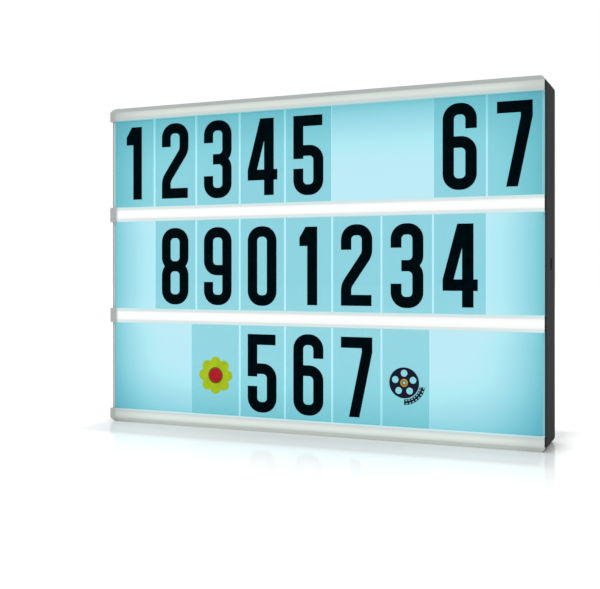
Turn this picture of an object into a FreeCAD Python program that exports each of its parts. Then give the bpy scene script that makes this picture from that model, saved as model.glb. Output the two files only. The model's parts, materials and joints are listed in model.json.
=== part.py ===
import FreeCAD, Part
import math
import os

# A cinema light box: a backlit sign whose clear lettering cards slide in four rails.
# X runs to the right, Y from the front to the back and Z up. The origin is on the surface that the
# box stands on, under its middle, so the cards face -Y. All sizes are millimetres.

# ---- overall sizes ----
box_width = 300.0
box_height = 220.0
box_depth = 42.0
corner_radius = 3.5

# ---- rails and cards ----
rail_cap_thickness = 1.8
rail_standoff = 2.1  # from the diffuser's face to the back of a rail's cap
lip_overhang = 2.6  # how far a cap covers the edge of a card
middle_stem_height = 5.0
outer_block_height = 6.8
rail_edge_radius = 0.7
bevel_height = 2.9
bevel_depth = 2.4
column_count = 9
card_gap = 1.05
row_end_play = 0.2  # from the last card of a full row to the rim
film_thickness = 0.4
film_clearance = 0.3
card_top_play = 1.0
wide_card_extra = 4.4  # the flower card is this much wider, on its left
narrow_card_cut = 1.6  # the reel card is this much narrower, on its right

# ---- front frame and diffuser ----
rim_width = 1.6
rim_proud = 0.4
diffuser_thickness = 2.0
diffuser_clearance = 0.2
ledge_thickness = 1.2
skirt_thickness = 2.0
skirt_depth = 5.0
skirt_clearance = 0.2
skirt_corner_radius = 1.2
light_corner_radius = 1.0

# ---- rear housing ----
side_wall = 2.2
back_wall = 2.2
back_edge_radius = 2.0
keyhole_spacing = 180.0
keyhole_from_top = 30.0
keyhole_head_radius = 4.5
keyhole_slot_radius = 2.3
keyhole_rise = 9.0

# ---- fasteners and their posts ----
screw_radius = 1.45
screw_head_radius = 2.75
screw_head_height = 2.0
screw_hole_clearance = 0.05
cross_recess = 0.7
cross_arm_share = 0.6  # a cross slot's arm as a share of the head's radius
post_radius = 3.5
post_inset = 7.5
frame_post_length = 14.0
post_gap = 0.1
boss_radius = 3.8
boss_floor = 4.0  # material between the frame post and a screw head
counterbore_radius = 3.1
housing_screw_length = 12.0
rib_thickness = 1.5
small_post_radius = 3.0
small_screw_radius = 1.05
small_head_radius = 2.2
small_head_height = 1.5
small_screw_length = 7.0

# ---- reflector tray and lamp strips ----
tray_thickness = 0.8
tray_slope = 13.2  # how far each side leans out from back to front
tray_mouth_gap = 1.4  # from the housing's front to the tray's front
tray_post_gap = 0.2
tray_tub_gap = 0.5
tray_post_from_end = 17.0
strip_end_margin = 4.0
strip_height = 10.0
strip_thickness = 1.0
chip_size = 5.0
chip_height = 1.6
chips_per_strip = 9
chip_end_margin = 12.0
lead_radius = 0.6
lead_hole_radius = 2.6
lead_spacing = 2.8
lead_lift = 0.1
jumper_from_end = 5.0

# ---- control board, socket, switch and button ----
board_width = 36.0
board_height = 52.0
board_thickness = 1.6
board_standoff = 8.2  # from the board to the inside of the back wall
board_wall_gap = 1.8
board_hole_inset = 4.0
board_post_radius = 2.6
component_inset = 8.5  # from the board's left edge to the middle of its larger components
driver_width = 5.0
driver_height = 4.0
driver_depth = 1.6
coil_size = 6.0
coil_depth = 3.0
coil_rise = 9.0
coil_edge_radius = 1.0
capacitor_radius = 2.4
capacitor_depth = 5.4
capacitor_drop = 9.0
capacitor_pitch = 7.0
resistor_width = 2.0
resistor_height = 1.2
resistor_depth = 0.6
resistor_pitch = 3.0
connector_inset = 1.0
connector_size = 6.0
connector_depth = 4.5
connector_drop = 7.0
socket_length = 12.0
socket_height = 9.5
socket_front_reach = 11.2
socket_axis_drop = 6.0
socket_nose_radius = 3.9
socket_nose_length = 1.8
socket_bore_radius = 2.75
socket_bore_depth = 9.5
socket_pin_radius = 1.05
socket_pin_recess = 1.0
socket_fit = 0.2
switch_length = 12.0
switch_height = 7.0
switch_body_depth = 4.6
switch_travel = 4.0
switch_drop = 12.0
knob_size = 5.0
knob_slot_clearance = 0.4
knob_recess = 0.6
stem_size = 2.4
stem_slot_depth = 2.5
stem_sunk = 2.2
knob_inner_reach = 1.5
groove_width = 0.6
groove_depth = 0.4
groove_pitch = 1.5
tact_size = 6.0
tact_depth = 3.5
plunger_radius = 1.75
plunger_fit = 0.05
plunger_sunk = 1.9
plunger_proud = 0.9
plunger_bottom_gap = 0.2
button_radius = 3.5
button_clearance = 0.2
button_flange_radius = 4.6
button_flange_thickness = 1.4
button_recess = 0.2
button_edge_radius = 0.5
button_travel = 0.6
button_rise = 12.0

# ---- battery compartment ----
cell_radius = 7.1
cell_length = 49.2
cell_edge_radius = 0.6
nub_radius = 2.7
nub_length = 1.3
cell_spacing = 2.2
cell_floor_gap = 0.5
cell_door_gap = 0.2
bank_length = 58.2
middle_rib = 3.0
tub_wall = 1.8
tub_floor = 1.6
tub_end_margin = 1.6
battery_centre_z = 64.0
divider_thickness = 1.0
divider_height = 7.0
divider_end_gap = 12.0
contact_thickness = 0.4
contact_size = 9.0
spring_large_radius = 3.8
spring_taper = 1.2
spring_waist = 0.7
spring_coils = 4
ear_reach = 9.5
ear_height = 9.0
ear_thickness = 2.0
ear_standoff = 6.0  # from an ear to the inside of the back wall
ear_spread = 18.0
door_seat_gap = 0.2  # from the door to the tub behind it
door_clearance = 0.3
door_lap = 2.2
door_corner_radius = 2.0
hook_width = 8.0
hook_spread = 35.0
hook_reach = 1.8
hook_thickness = 1.2
hook_root = 3.0
hook_gap = 0.1
latch_width = 18.0
latch_slot = 1.0
latch_slot_length = 12.0
scoop_width = 14.0
scoop_height = 6.0
scoop_depth = 1.0
grip_ridge = 0.6
lead_wire_radius = 0.8
lead_wire_pitch = 2.5
lead_wire_rise = 1.5

# ---- places worked out from the sizes ----
half_width = box_width / 2
front_y = -box_depth / 2
back_y = box_depth / 2
middle_z = box_height / 2
cap_back_y = front_y + rail_cap_thickness
diffuser_front_y = cap_back_y + rail_standoff
diffuser_back_y = diffuser_front_y + diffuser_thickness
rim_front_y = diffuser_front_y - rim_proud
housing_front_y = diffuser_back_y + ledge_thickness
inner_back_y = back_y - back_wall
inner_half_width = half_width - side_wall
outer_rail_height = outer_block_height + lip_overhang
middle_rail_height = middle_stem_height + 2 * lip_overhang
row_opening = (box_height - 2 * outer_rail_height - 2 * middle_rail_height) / 3
row_pitch = row_opening + middle_rail_height
row_centres = [outer_rail_height + row_opening / 2 + row_pitch * i for i in range(3)]
rail_centres = [outer_rail_height + row_opening + middle_rail_height / 2 + row_pitch * i for i in range(2)]
light_inset = side_wall + skirt_clearance + skirt_thickness
frame_post_y = diffuser_back_y + frame_post_length
column_pitch = (box_width - 2 * rim_width - 2 * row_end_play + card_gap) / column_count
cell_pitch = 2 * cell_radius + cell_spacing
tub_front_y = inner_back_y - cell_door_gap - 2 * cell_radius - cell_floor_gap - tub_floor
tray_back_y = tub_front_y - tray_tub_gap
tray_front_y = housing_front_y + tray_mouth_gap
tray_depth = tray_back_y - tray_front_y
tray_back_inset = post_inset + post_radius + tray_post_gap + 2 * tray_thickness + tray_slope
tray_back_half_width = half_width - tray_back_inset
tray_back_half_height = middle_z - tray_back_inset
strip_length = 2 * (tray_back_half_width - strip_end_margin)
chip_pitch = (strip_length - 2 * chip_end_margin) / (chips_per_strip - 1)
jumper_x = strip_length / 2 - jumper_from_end
strip_front_y = tray_back_y - tray_thickness - strip_thickness
lead_x = strip_length / 2 + lead_hole_radius - lead_radius
board_rear_y = inner_back_y - board_standoff
board_front_y = board_rear_y - board_thickness
board_right_x = inner_half_width - board_wall_gap
board_left_x = board_right_x - board_width
board_centre_x = board_right_x - board_width / 2
socket_y = board_front_y - socket_axis_drop
socket_face_x = inner_half_width - socket_fit
socket_end_x = socket_face_x + socket_nose_length
component_x = board_left_x + component_inset
connector_z = middle_z - connector_drop
switch_z = middle_z - switch_drop
button_z = middle_z + button_rise
knob_rest_x = board_centre_x + switch_travel / 2
tub_half_length = bank_length + middle_rib / 2 + tub_wall
tub_half_height = 1.5 * cell_pitch + tub_end_margin / 2 + tub_wall
cell_y = tub_front_y + tub_floor + cell_floor_gap + cell_radius
ear_y = inner_back_y - ear_standoff - ear_thickness
door_thickness = back_wall - door_seat_gap
door_half_width = tub_half_length - door_lap - door_clearance
door_half_height = tub_half_height - door_lap - door_clearance

V = FreeCAD.Vector


def rectangle(x, z, half_x, half_z):
    """Four (x, z) places at the corners of a rectangle."""
    return [(x + sx * half_x, z + sz * half_z) for sx in (-1, 1) for sz in (-1, 1)]


post_places = rectangle(0, middle_z, half_width - post_inset, middle_z - post_inset)
post_places += [(0, post_inset), (0, box_height - post_inset)]
tray_post_places = rectangle(0, middle_z, tray_back_half_width - tray_post_from_end, row_pitch / 2)
board_hole_x = board_width / 2 - board_hole_inset
board_hole_z = board_height / 2 - board_hole_inset
board_post_places = rectangle(board_centre_x, middle_z, board_hole_x, board_hole_z)
ear_places = rectangle(0, battery_centre_z, tub_half_length + ear_reach / 2, ear_spread)


# ---- shape helpers ----
def block(x0, x1, y0, y1, z0, z1):
    """A box between two corners."""
    return Part.makeBox(x1 - x0, y1 - y0, z1 - z0, V(x0, y0, z0))


def rod_y(x, z, radius, y0, y1):
    """A round bar along Y."""
    return Part.makeCylinder(radius, y1 - y0, V(x, y0, z), V(0, 1, 0))


def rod_x(y, z, radius, x0, x1):
    """A round bar along X."""
    return Part.makeCylinder(radius, x1 - x0, V(x0, y, z), V(1, 0, 0))


def slab(inset, radius, y0, y1):
    """A rounded plate across the whole front, with its edge inset from the box's own outline."""
    return plate(0, middle_z, half_width - inset, middle_z - inset, radius, y0, y1)


def plate(x, z, half_x, half_z, radius, y0, y1):
    """A plate facing Y with rounded corners."""
    body = block(x - half_x, x + half_x, y0, y1, z - half_z, z + half_z)
    corners = [e for e in body.Edges if abs(e.Vertexes[0].Y - e.Vertexes[-1].Y) > 1e-6]
    return body.makeFillet(radius, corners)


def span(a, b):
    """Two ends of a span, the lower first."""
    return min(a, b), max(a, b)


def joined(shapes):
    """One solid from shapes that touch or overlap."""
    return shapes[0].multiFuse(shapes[1:]).removeSplitter()


def group(shapes):
    """Separate solids that share one node."""
    return Part.makeCompound(shapes)


def profile_along_x(points, x0, x1):
    """A closed outline of (y, z) points drawn out along X."""
    wire = Part.makePolygon([V(x0, y, z) for y, z in points + points[:1]])
    return Part.Face(wire).extrude(V(x1 - x0, 0, 0))


def screw(x, z, head_y, toward, radius, length, head_radius, head_height):
    """A cross-head screw along Y. Its head's inner face is at head_y and its shank runs toward +1 or -1."""
    shank = Part.makeCylinder(radius, length, V(x, head_y, z), V(0, toward, 0))
    head = Part.makeCylinder(head_radius, head_height, V(x, head_y, z), V(0, -toward, 0))
    outer = head_y - toward * head_height
    sunk = outer + toward * cross_recess
    y0, y1 = span(outer, sunk)
    arm = head_radius * cross_arm_share
    slot = cross_recess / 2
    across = block(x - arm, x + arm, y0, y1, z - slot, z + slot)
    upright = block(x - slot, x + slot, y0, y1, z - arm, z + arm)
    return joined([shank, head]).cut(joined([across, upright]))


def small_screws(places, head_y, length):
    """A group of small screws driven towards the back."""
    sizes = (small_screw_radius, length, small_head_radius, small_head_height)
    return group([screw(x, z, head_y, 1, *sizes) for x, z in places])


def wire(points, radius):
    """A round lead along straight runs joined by tangent arcs that are as large as the runs allow."""
    points = [V(*p) for p in points]
    edges = []
    start = points[0]
    for before, corner, after in zip(points, points[1:], points[2:]):
        incoming, outgoing = corner - before, after - corner
        turn = incoming.getAngle(outgoing)
        reach = 0.45 * min(incoming.Length, outgoing.Length)
        back = corner - incoming.normalize() * reach
        ahead = corner + outgoing.normalize() * reach
        bisector = (back + ahead) * 0.5 - corner
        arc_radius = reach / math.tan(turn / 2)
        centre_distance = arc_radius / math.cos(turn / 2)
        middle = corner + bisector.normalize() * (centre_distance - arc_radius)
        edges.append(Part.LineSegment(start, back).toShape())
        edges.append(Part.Arc(back, middle, ahead).toShape())
        start = ahead
    edges.append(Part.LineSegment(start, points[-1]).toShape())
    path = Part.Wire(edges)
    section = Part.Wire(Part.makeCircle(radius, points[0], points[1] - points[0]))
    return path.makePipeShell([section], True, False)


# ---- enclosure ----
def front_frame():
    """White moulded ring: a pocket for the diffuser, a ledge behind it and a skirt inside the housing."""
    opening = slab(light_inset, light_corner_radius, rim_front_y - 1, housing_front_y + skirt_depth + 1)
    pocket = slab(rim_width, corner_radius - rim_width, rim_front_y - 1, diffuser_back_y)
    ring = slab(0, corner_radius, rim_front_y, housing_front_y).cut(pocket)
    skirt_inset = side_wall + skirt_clearance
    skirt = slab(skirt_inset, skirt_corner_radius, housing_front_y, housing_front_y + skirt_depth)
    posts = [rod_y(x, z, post_radius, diffuser_back_y, frame_post_y) for x, z in post_places]
    hole = screw_radius + screw_hole_clearance
    pilots = [rod_y(x, z, hole, housing_front_y, frame_post_y + 1) for x, z in post_places]
    return joined([ring, skirt]).cut(opening).multiFuse(posts).removeSplitter().cut(joined(pilots))


def diffuser_panel():
    """Opal acrylic sheet in the front frame's pocket."""
    inset = rim_width + diffuser_clearance
    return slab(inset, corner_radius - inset, diffuser_front_y, diffuser_back_y)


def keyhole(x):
    """The cut of one wall-hanging keyhole: a round entry with a narrow slot above it."""
    z = box_height - keyhole_from_top
    through = (inner_back_y - 1, back_y + 1)
    slot = block(x - keyhole_slot_radius, x + keyhole_slot_radius, *through, z, z + keyhole_rise)
    end = rod_y(x, z + keyhole_rise, keyhole_slot_radius, *through)
    return joined([rod_y(x, z, keyhole_head_radius, *through), slot, end])


def rear_housing():
    """Charcoal moulded shell with its screw bosses, posts and cut-outs."""
    shell = slab(0, corner_radius, housing_front_y, back_y)
    rim = [e for e in shell.Edges if all(abs(v.Y - back_y) < 1e-6 for v in e.Vertexes)]
    shell = shell.makeFillet(back_edge_radius, rim)
    shell = shell.cut(slab(side_wall, corner_radius - side_wall, housing_front_y - 1, inner_back_y))
    boss_front_y = frame_post_y + post_gap
    seat_y = boss_front_y + boss_floor
    additions = []
    for x, z in post_places:
        additions.append(rod_y(x, z, boss_radius, boss_front_y, inner_back_y))
        end_z = side_wall / 2 if z < middle_z else box_height - side_wall / 2
        half = rib_thickness / 2
        additions.append(block(x - half, x + half, boss_front_y, inner_back_y, *span(z, end_z)))
    small_posts = [
        (tray_post_places, small_post_radius, tray_back_y),
        (board_post_places, board_post_radius, board_rear_y),
        (ear_places, small_post_radius, ear_y + ear_thickness),
    ]
    for places, radius, start_y in small_posts:
        additions += [rod_y(x, z, radius, start_y, inner_back_y) for x, z in places]
    shell = shell.multiFuse(additions).removeSplitter()

    hole = screw_radius + screw_hole_clearance
    small_hole = small_screw_radius + screw_hole_clearance
    cuts = [rod_y(x, z, hole, boss_front_y - 1, back_y + 1) for x, z in post_places]
    cuts += [rod_y(x, z, counterbore_radius, seat_y, back_y + 1) for x, z in post_places]
    for places, radius, start_y in small_posts:
        end_y = min(start_y + small_screw_length, inner_back_y)
        cuts += [rod_y(x, z, small_hole, start_y - 1, end_y) for x, z in places]
    cuts += [keyhole(x) for x in (-keyhole_spacing / 2, keyhole_spacing / 2)]
    through = (inner_back_y - 1, back_y + 1)
    gap = door_clearance
    door_sizes = (door_half_width + gap, door_half_height + gap, door_corner_radius + gap)
    cuts.append(plate(0, battery_centre_z, *door_sizes, *through))
    reach = knob_size / 2 + knob_slot_clearance
    slot_x = (knob_rest_x - switch_travel - reach, knob_rest_x + reach)
    cuts.append(block(*slot_x, *through, switch_z - reach, switch_z + reach))
    cuts.append(rod_y(board_centre_x, button_z, button_radius + button_clearance, *through))
    nose_hole = socket_nose_radius + socket_fit
    cuts.append(rod_x(socket_y, middle_z, nose_hole, inner_half_width - 1, half_width + 1))
    return shell.cut(group(cuts))


def housing_screws():
    """Long screws that draw the front frame onto the housing from behind."""
    seat_y = frame_post_y + post_gap + boss_floor
    return group(
        [
            screw(x, z, seat_y, -1, screw_radius, housing_screw_length, screw_head_radius, screw_head_height)
            for x, z in post_places
        ]
    )


# ---- rails and cards ----
def long_edges(shape, y, heights):
    """The edges along X that lie at depth y and at one of the heights."""
    found = []
    for e in shape.Edges:
        a, b = e.Vertexes[0], e.Vertexes[-1]
        along_x = abs(a.X - b.X) > box_width / 2
        if along_x and abs(a.Y - y) < 1e-6 and any(abs(a.Z - h) < 1e-6 for h in heights):
            found.append(e)
    return found


def end_lugs(low, high):
    """The blocks at a rail's two ends that stand on the frame's rim."""
    inner = half_width - rim_width - diffuser_clearance
    return [block(*span(s * half_width, s * inner), cap_back_y, diffuser_front_y, low, high) for s in (-1, 1)]


def middle_rail(z, frame):
    """T-section rail: a stem on the diffuser and a cap whose lips hold the cards above and below."""
    half = middle_rail_height / 2
    cap = block(-half_width, half_width, front_y, cap_back_y, z - half, z + half)
    cap = cap.makeFillet(rail_edge_radius, long_edges(cap, front_y, [z - half, z + half]))
    stem_end = half_width - rim_width - diffuser_clearance
    stem_half = middle_stem_height / 2
    stem = block(-stem_end, stem_end, cap_back_y, diffuser_front_y, z - stem_half, z + stem_half)
    return joined([cap, stem] + end_lugs(z - half, z + half)).cut(frame)


def outer_rail(edge_z, inward, frame):
    """Bevelled L-section rail at the top or bottom; inward is the sign of Z from its edge to the cards."""
    inner_z = edge_z + inward * outer_rail_height
    block_z = edge_z + inward * outer_block_height
    outline = [
        (front_y + bevel_depth, edge_z),
        (diffuser_front_y, edge_z),
        (diffuser_front_y, block_z),
        (cap_back_y, block_z),
        (cap_back_y, inner_z),
        (front_y, inner_z),
        (front_y, edge_z + inward * bevel_height),
    ]
    rail = profile_along_x(outline, -half_width, half_width)
    rail = rail.makeFillet(rail_edge_radius, long_edges(rail, front_y, [inner_z]))
    outline_slab = slab(0, corner_radius, front_y - 1, diffuser_front_y)
    return joined([rail] + end_lugs(*span(block_z, inner_z))).common(outline_slab).cut(frame)


def card(row, column, extra_left=0.0, cut_right=0.0):
    """One clear film card standing in the groove of its row. Columns count from 1 at the left."""
    left = (column - 1 - column_count / 2) * column_pitch + card_gap / 2
    right = left + column_pitch - card_gap
    low = row_centres[row] - row_opening / 2 - lip_overhang + film_clearance
    high = row_centres[row] + row_opening / 2 + lip_overhang - card_top_play
    back = diffuser_front_y - film_clearance
    return block(left - extra_left, right - cut_right, back - film_thickness, back, low, high)


# ---- light source ----
def tray_frustum(grow, front_extra):
    """The tray's pan shape as a solid, grown sideways; front_extra draws it past the tray's mouth."""
    share = (tray_depth + front_extra) / tray_depth
    wires = []
    for y, spread in ((tray_back_y, 0.0), (tray_back_y - tray_depth * share, tray_slope * share)):
        half_x = tray_back_half_width + grow + spread
        half_z = tray_back_half_height + grow + spread
        ring = [(-half_x, -half_z), (half_x, -half_z), (half_x, half_z), (-half_x, half_z)]
        wires.append(Part.makePolygon([V(x, y, middle_z + z) for x, z in ring + ring[:1]]))
    return Part.makeLoft(wires, True, True)


def reflector_tray():
    """White formed sheet, a shallow pan with sloping sides and a hole for the lamp leads."""
    hollow = tray_frustum(0.0, 1.0)
    hollow.translate(V(0, -tray_thickness, 0))
    pan = tray_frustum(tray_thickness, 0.0).cut(hollow)
    holes = [
        rod_y(x, z, small_screw_radius + screw_hole_clearance, strip_front_y, tray_back_y + 1)
        for x, z in tray_post_places
    ]
    holes.append(rod_y(lead_x, middle_z, lead_hole_radius, strip_front_y - 1, tray_back_y + 1))
    return pan.cut(group(holes))


def led_strip(row):
    """Narrow circuit strip on the tray behind one row of cards."""
    half = strip_length / 2
    z = row_centres[row]
    half_z = strip_height / 2
    strip = block(-half, half, strip_front_y, strip_front_y + strip_thickness, z - half_z, z + half_z)
    if row == 1:
        strip = strip.cut(rod_y(lead_x, z, lead_hole_radius, strip_front_y - 1, tray_back_y))
    return strip


def led_chips(row):
    """The lamps soldered along one strip."""
    z = row_centres[row]
    half = chip_size / 2
    places = [(i - (chips_per_strip - 1) / 2) * chip_pitch for i in range(chips_per_strip)]
    depth = (strip_front_y - chip_height, strip_front_y)
    return group([block(x - half, x + half, *depth, z - half, z + half) for x in places])


def strip_jumpers():
    """Short leads that join each strip to the next."""
    y = strip_front_y - lead_radius
    rods = []
    for low, high in zip(row_centres, row_centres[1:]):
        start = low + strip_height / 4
        length = high - low - strip_height / 2
        for x in (jumper_x - lead_spacing / 2, jumper_x + lead_spacing / 2):
            rods.append(Part.makeCylinder(lead_radius, length, V(x, y, start), V(0, 0, 1)))
    return group(rods)


def strip_leads():
    """Two leads from the control board through the tray to the middle strip."""
    y = strip_front_y - lead_radius - lead_lift
    end = lead_x - 4 * lead_radius - lead_hole_radius
    leads = []
    for z in (middle_z - lead_spacing / 2, middle_z + lead_spacing / 2):
        leads.append(wire([(lead_x, board_front_y, z), (lead_x, y, z), (end, y, z)], lead_radius))
    return group(leads)


def tray_screws():
    """Screws that hold the tray to the housing's posts."""
    return small_screws(tray_post_places, tray_back_y - tray_thickness, small_screw_length)


# ---- control board and what is soldered to it ----
def control_board():
    """Circuit board on four posts behind the right-hand end of the tray."""
    board = block(
        board_left_x, board_right_x, board_front_y, board_rear_y,
        middle_z - board_height / 2, middle_z + board_height / 2,
    )
    holes = [
        rod_y(x, z, small_screw_radius + screw_hole_clearance, board_front_y - 1, board_rear_y + 1)
        for x, z in board_post_places
    ]
    return board.cut(group(holes))


def board_screws():
    """Screws that hold the control board to its posts."""
    return small_screws(board_post_places, board_front_y, small_screw_length)


def board_components():
    """Lamp driver, coil, capacitors and resistors on the board's rear face."""
    half_x, half_z = driver_width / 2, driver_height / 2
    driver_end = board_rear_y + driver_depth
    x0, x1 = component_x - half_x, component_x + half_x
    parts = [block(x0, x1, board_rear_y, driver_end, middle_z - half_z, middle_z + half_z)]
    coil_end = board_rear_y + coil_depth
    half = coil_size / 2
    coil_z = middle_z + coil_rise
    parts.append(plate(component_x, coil_z, half, half, coil_edge_radius, board_rear_y, coil_end))
    for i in range(2):
        z = middle_z - capacitor_drop - capacitor_pitch * i
        parts.append(rod_y(component_x, z, capacitor_radius, board_rear_y, board_rear_y + capacitor_depth))
    half_x, half_z = resistor_width / 2, resistor_height / 2
    resistor_end = board_rear_y + resistor_depth
    x0, x1 = board_centre_x - half_x, board_centre_x + half_x
    for i in range(3):
        z = middle_z + resistor_pitch * i
        parts.append(block(x0, x1, board_rear_y, resistor_end, z - half_z, z + half_z))
    return group(parts)


def board_connector():
    """Two-way connector for the battery leads on the board's front face."""
    left = board_left_x + connector_inset
    half = connector_size / 2
    front = board_front_y - connector_depth
    return block(left, left + connector_size, front, board_front_y, connector_z - half, connector_z + half)


def power_socket():
    """Barrel socket on the board's edge, with its nose in the housing's right side."""
    half = socket_height / 2
    front = board_front_y - socket_front_reach
    start = socket_face_x - socket_length
    body = block(start, socket_face_x, front, board_front_y, middle_z - half, middle_z + half)
    nose = rod_x(socket_y, middle_z, socket_nose_radius, socket_face_x, socket_end_x)
    bore_start = socket_end_x - socket_bore_depth
    bore = rod_x(socket_y, middle_z, socket_bore_radius, bore_start, socket_end_x + 1)
    return joined([body, nose]).cut(bore)


def socket_centre_pin():
    """Metal pin in the middle of the socket's bore."""
    start, end = socket_end_x - socket_bore_depth, socket_end_x - socket_pin_recess
    return rod_x(socket_y, middle_z, socket_pin_radius, start, end)


def power_switch_body():
    """Slide switch case, with a slot for the moving stem."""
    top = board_rear_y + switch_body_depth
    half_x, half_z = switch_length / 2, switch_height / 2
    case = block(
        board_centre_x - half_x, board_centre_x + half_x, board_rear_y, top,
        switch_z - half_z, switch_z + half_z,
    )
    half_slot = stem_size / 2 + knob_slot_clearance
    reach = switch_travel / 2 + half_slot
    slot = block(
        board_centre_x - reach, board_centre_x + reach, top - stem_slot_depth, top + 1,
        switch_z - half_slot, switch_z + half_slot,
    )
    return case.cut(slot)


def power_switch_knob():
    """Sliding knob, shown at the on end of its travel."""
    stem_start = board_rear_y + switch_body_depth - stem_sunk
    head_start = inner_back_y - knob_inner_reach
    face = back_y - knob_recess
    half_stem, half = stem_size / 2, knob_size / 2
    heights = (switch_z - half, switch_z + half)
    stem = block(
        knob_rest_x - half_stem, knob_rest_x + half_stem, stem_start, head_start,
        switch_z - half_stem, switch_z + half_stem,
    )
    head = block(knob_rest_x - half, knob_rest_x + half, head_start, face, *heights)
    grooves = []
    for i in (-1, 0, 1):
        low = knob_rest_x + groove_pitch * i - groove_width / 2
        grooves.append(block(low, low + groove_width, face - groove_depth, back_y, *heights))
    return joined([stem, head]).cut(group(grooves))


def tact_switch_body():
    """Square push switch case with a round bore for its plunger."""
    half = tact_size / 2
    top = board_rear_y + tact_depth
    case = block(
        board_centre_x - half, board_centre_x + half, board_rear_y, top,
        button_z - half, button_z + half,
    )
    bottom = top - plunger_sunk - button_travel - plunger_bottom_gap
    return case.cut(rod_y(board_centre_x, button_z, plunger_radius + plunger_fit, bottom, top + 1))


def tact_plunger():
    """The push switch's round plunger."""
    top = board_rear_y + tact_depth
    return rod_y(board_centre_x, button_z, plunger_radius, top - plunger_sunk, top + plunger_proud)


def mode_button():
    """Round cap that steps through the light's colours, kept in by its flange."""
    start = board_rear_y + tact_depth + plunger_proud
    flange_top = inner_back_y - button_clearance
    flange_low = flange_top - button_flange_thickness
    face_y = back_y - button_recess
    stem = rod_y(board_centre_x, button_z, plunger_radius, start, flange_low)
    flange = rod_y(board_centre_x, button_z, button_flange_radius, flange_low, flange_top)
    cap = rod_y(board_centre_x, button_z, button_radius, flange_top, face_y)
    edge = [e for e in cap.Edges if all(abs(v.Y - face_y) < 1e-6 for v in e.Vertexes)]
    return joined([stem, flange, cap.makeFillet(button_edge_radius, edge)])


# ---- batteries ----
def bank_ends():
    """For each cell: its bank's side, its height and which way its positive end points."""
    for side in (-1, 1):
        for i in range(3):
            yield side, battery_centre_z + (i - 1) * cell_pitch, 1 if (i + (side > 0)) % 2 else -1


def bank_limits(side):
    """The inner ends of one bank, from left to right."""
    near = middle_rib / 2
    return (near, near + bank_length) if side > 0 else (-near - bank_length, -near)


def battery_tub():
    """Moulded tray for the cells, closed towards the lamp side and open at the back."""
    half_x, half_z = tub_half_length, tub_half_height
    low, high = battery_centre_z - half_z, battery_centre_z + half_z
    body = block(-half_x, half_x, tub_front_y, inner_back_y, low, high)
    floor_y = tub_front_y + tub_floor
    cavities = []
    for side in (-1, 1):
        x0, x1 = bank_limits(side)
        cavities.append(block(x0, x1, floor_y, inner_back_y + 1, low + tub_wall, high - tub_wall))
    tub = body.cut(group(cavities))
    dividers = []
    for side in (-1, 1):
        x0, x1 = bank_limits(side)
        for dz in (-cell_pitch / 2, cell_pitch / 2):
            base = battery_centre_z + dz - divider_thickness / 2
            ends = (x0 + divider_end_gap, x1 - divider_end_gap)
            dividers.append(block(*ends, floor_y, floor_y + divider_height, base, base + divider_thickness))
    ears = []
    for x, z in ear_places:
        ends = span(math.copysign(tub_half_length, x), math.copysign(tub_half_length + ear_reach, x))
        ears.append(block(*ends, ear_y, ear_y + ear_thickness, z - ear_height / 2, z + ear_height / 2))
    tub = tub.multiFuse(dividers + ears).removeSplitter()
    hole = small_screw_radius + screw_hole_clearance
    holes = [rod_y(x, z, hole, ear_y - 1, ear_y + ear_thickness + 1) for x, z in ear_places]
    notch_y = inner_back_y - 2 * hook_thickness
    for sx in (-1, 1):
        x = sx * hook_spread
        half = hook_width / 2 + door_clearance
        holes.append(block(x - half, x + half, notch_y, inner_back_y + 1, low - 1, low + tub_wall + 1))
    return tub.cut(group(holes))


def tub_screws():
    """Screws through the tub's ears into the housing."""
    return small_screws(ear_places, ear_y, small_screw_length)


def battery_cells():
    """Six cells, laid head to tail so that they work in series."""
    cells = []
    for side, z, positive in bank_ends():
        x0, x1 = bank_limits(side)
        nub_tip = x1 - contact_thickness if positive > 0 else x0 + contact_thickness
        shoulder = nub_tip - positive * nub_length
        tail = shoulder - positive * cell_length
        can = rod_x(cell_y, z, cell_radius, *span(shoulder, tail))
        ends = [e for e in can.Edges if len(e.Vertexes) == 1]
        nub = rod_x(cell_y, z, nub_radius, *span(shoulder, nub_tip))
        cells.append(joined([can.makeFillet(cell_edge_radius, ends), nub]))
    return group(cells)


def battery_plates():
    """Flat contacts at the positive ends and behind the springs."""
    half = contact_size / 2
    plates = []
    for side, z, _ in bank_ends():
        for end, inward in zip(bank_limits(side), (1, -1)):
            ends = span(end, end + inward * contact_thickness)
            plates.append(block(*ends, cell_y - half, cell_y + half, z - half, z + half))
    return group(plates)


def battery_springs():
    """Conical springs that press on the negative ends, each as a closed ribbed cone."""
    springs = []
    for side, z, positive in bank_ends():
        x0, x1 = bank_limits(side)
        base = (x0 if positive > 0 else x1) + positive * contact_thickness
        tip = (x1 if positive > 0 else x0) - positive * (contact_thickness + nub_length + cell_length)
        step = (tip - base) / spring_coils
        outline = [(base, 0.0)]
        for i in range(spring_coils):
            radius = spring_large_radius - spring_taper * i / (spring_coils - 1)
            outline.append((base + step * i, radius - spring_waist))
            outline.append((base + step * (i + 0.5), radius))
        outline += [(tip, spring_large_radius - spring_taper - spring_waist), (tip, 0.0), (base, 0.0)]
        ring = Part.makePolygon([V(x, cell_y + r, z) for x, r in outline])
        springs.append(Part.Face(ring).revolve(V(base, cell_y, z), V(1, 0, 0), 360))
    return group(springs)


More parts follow.
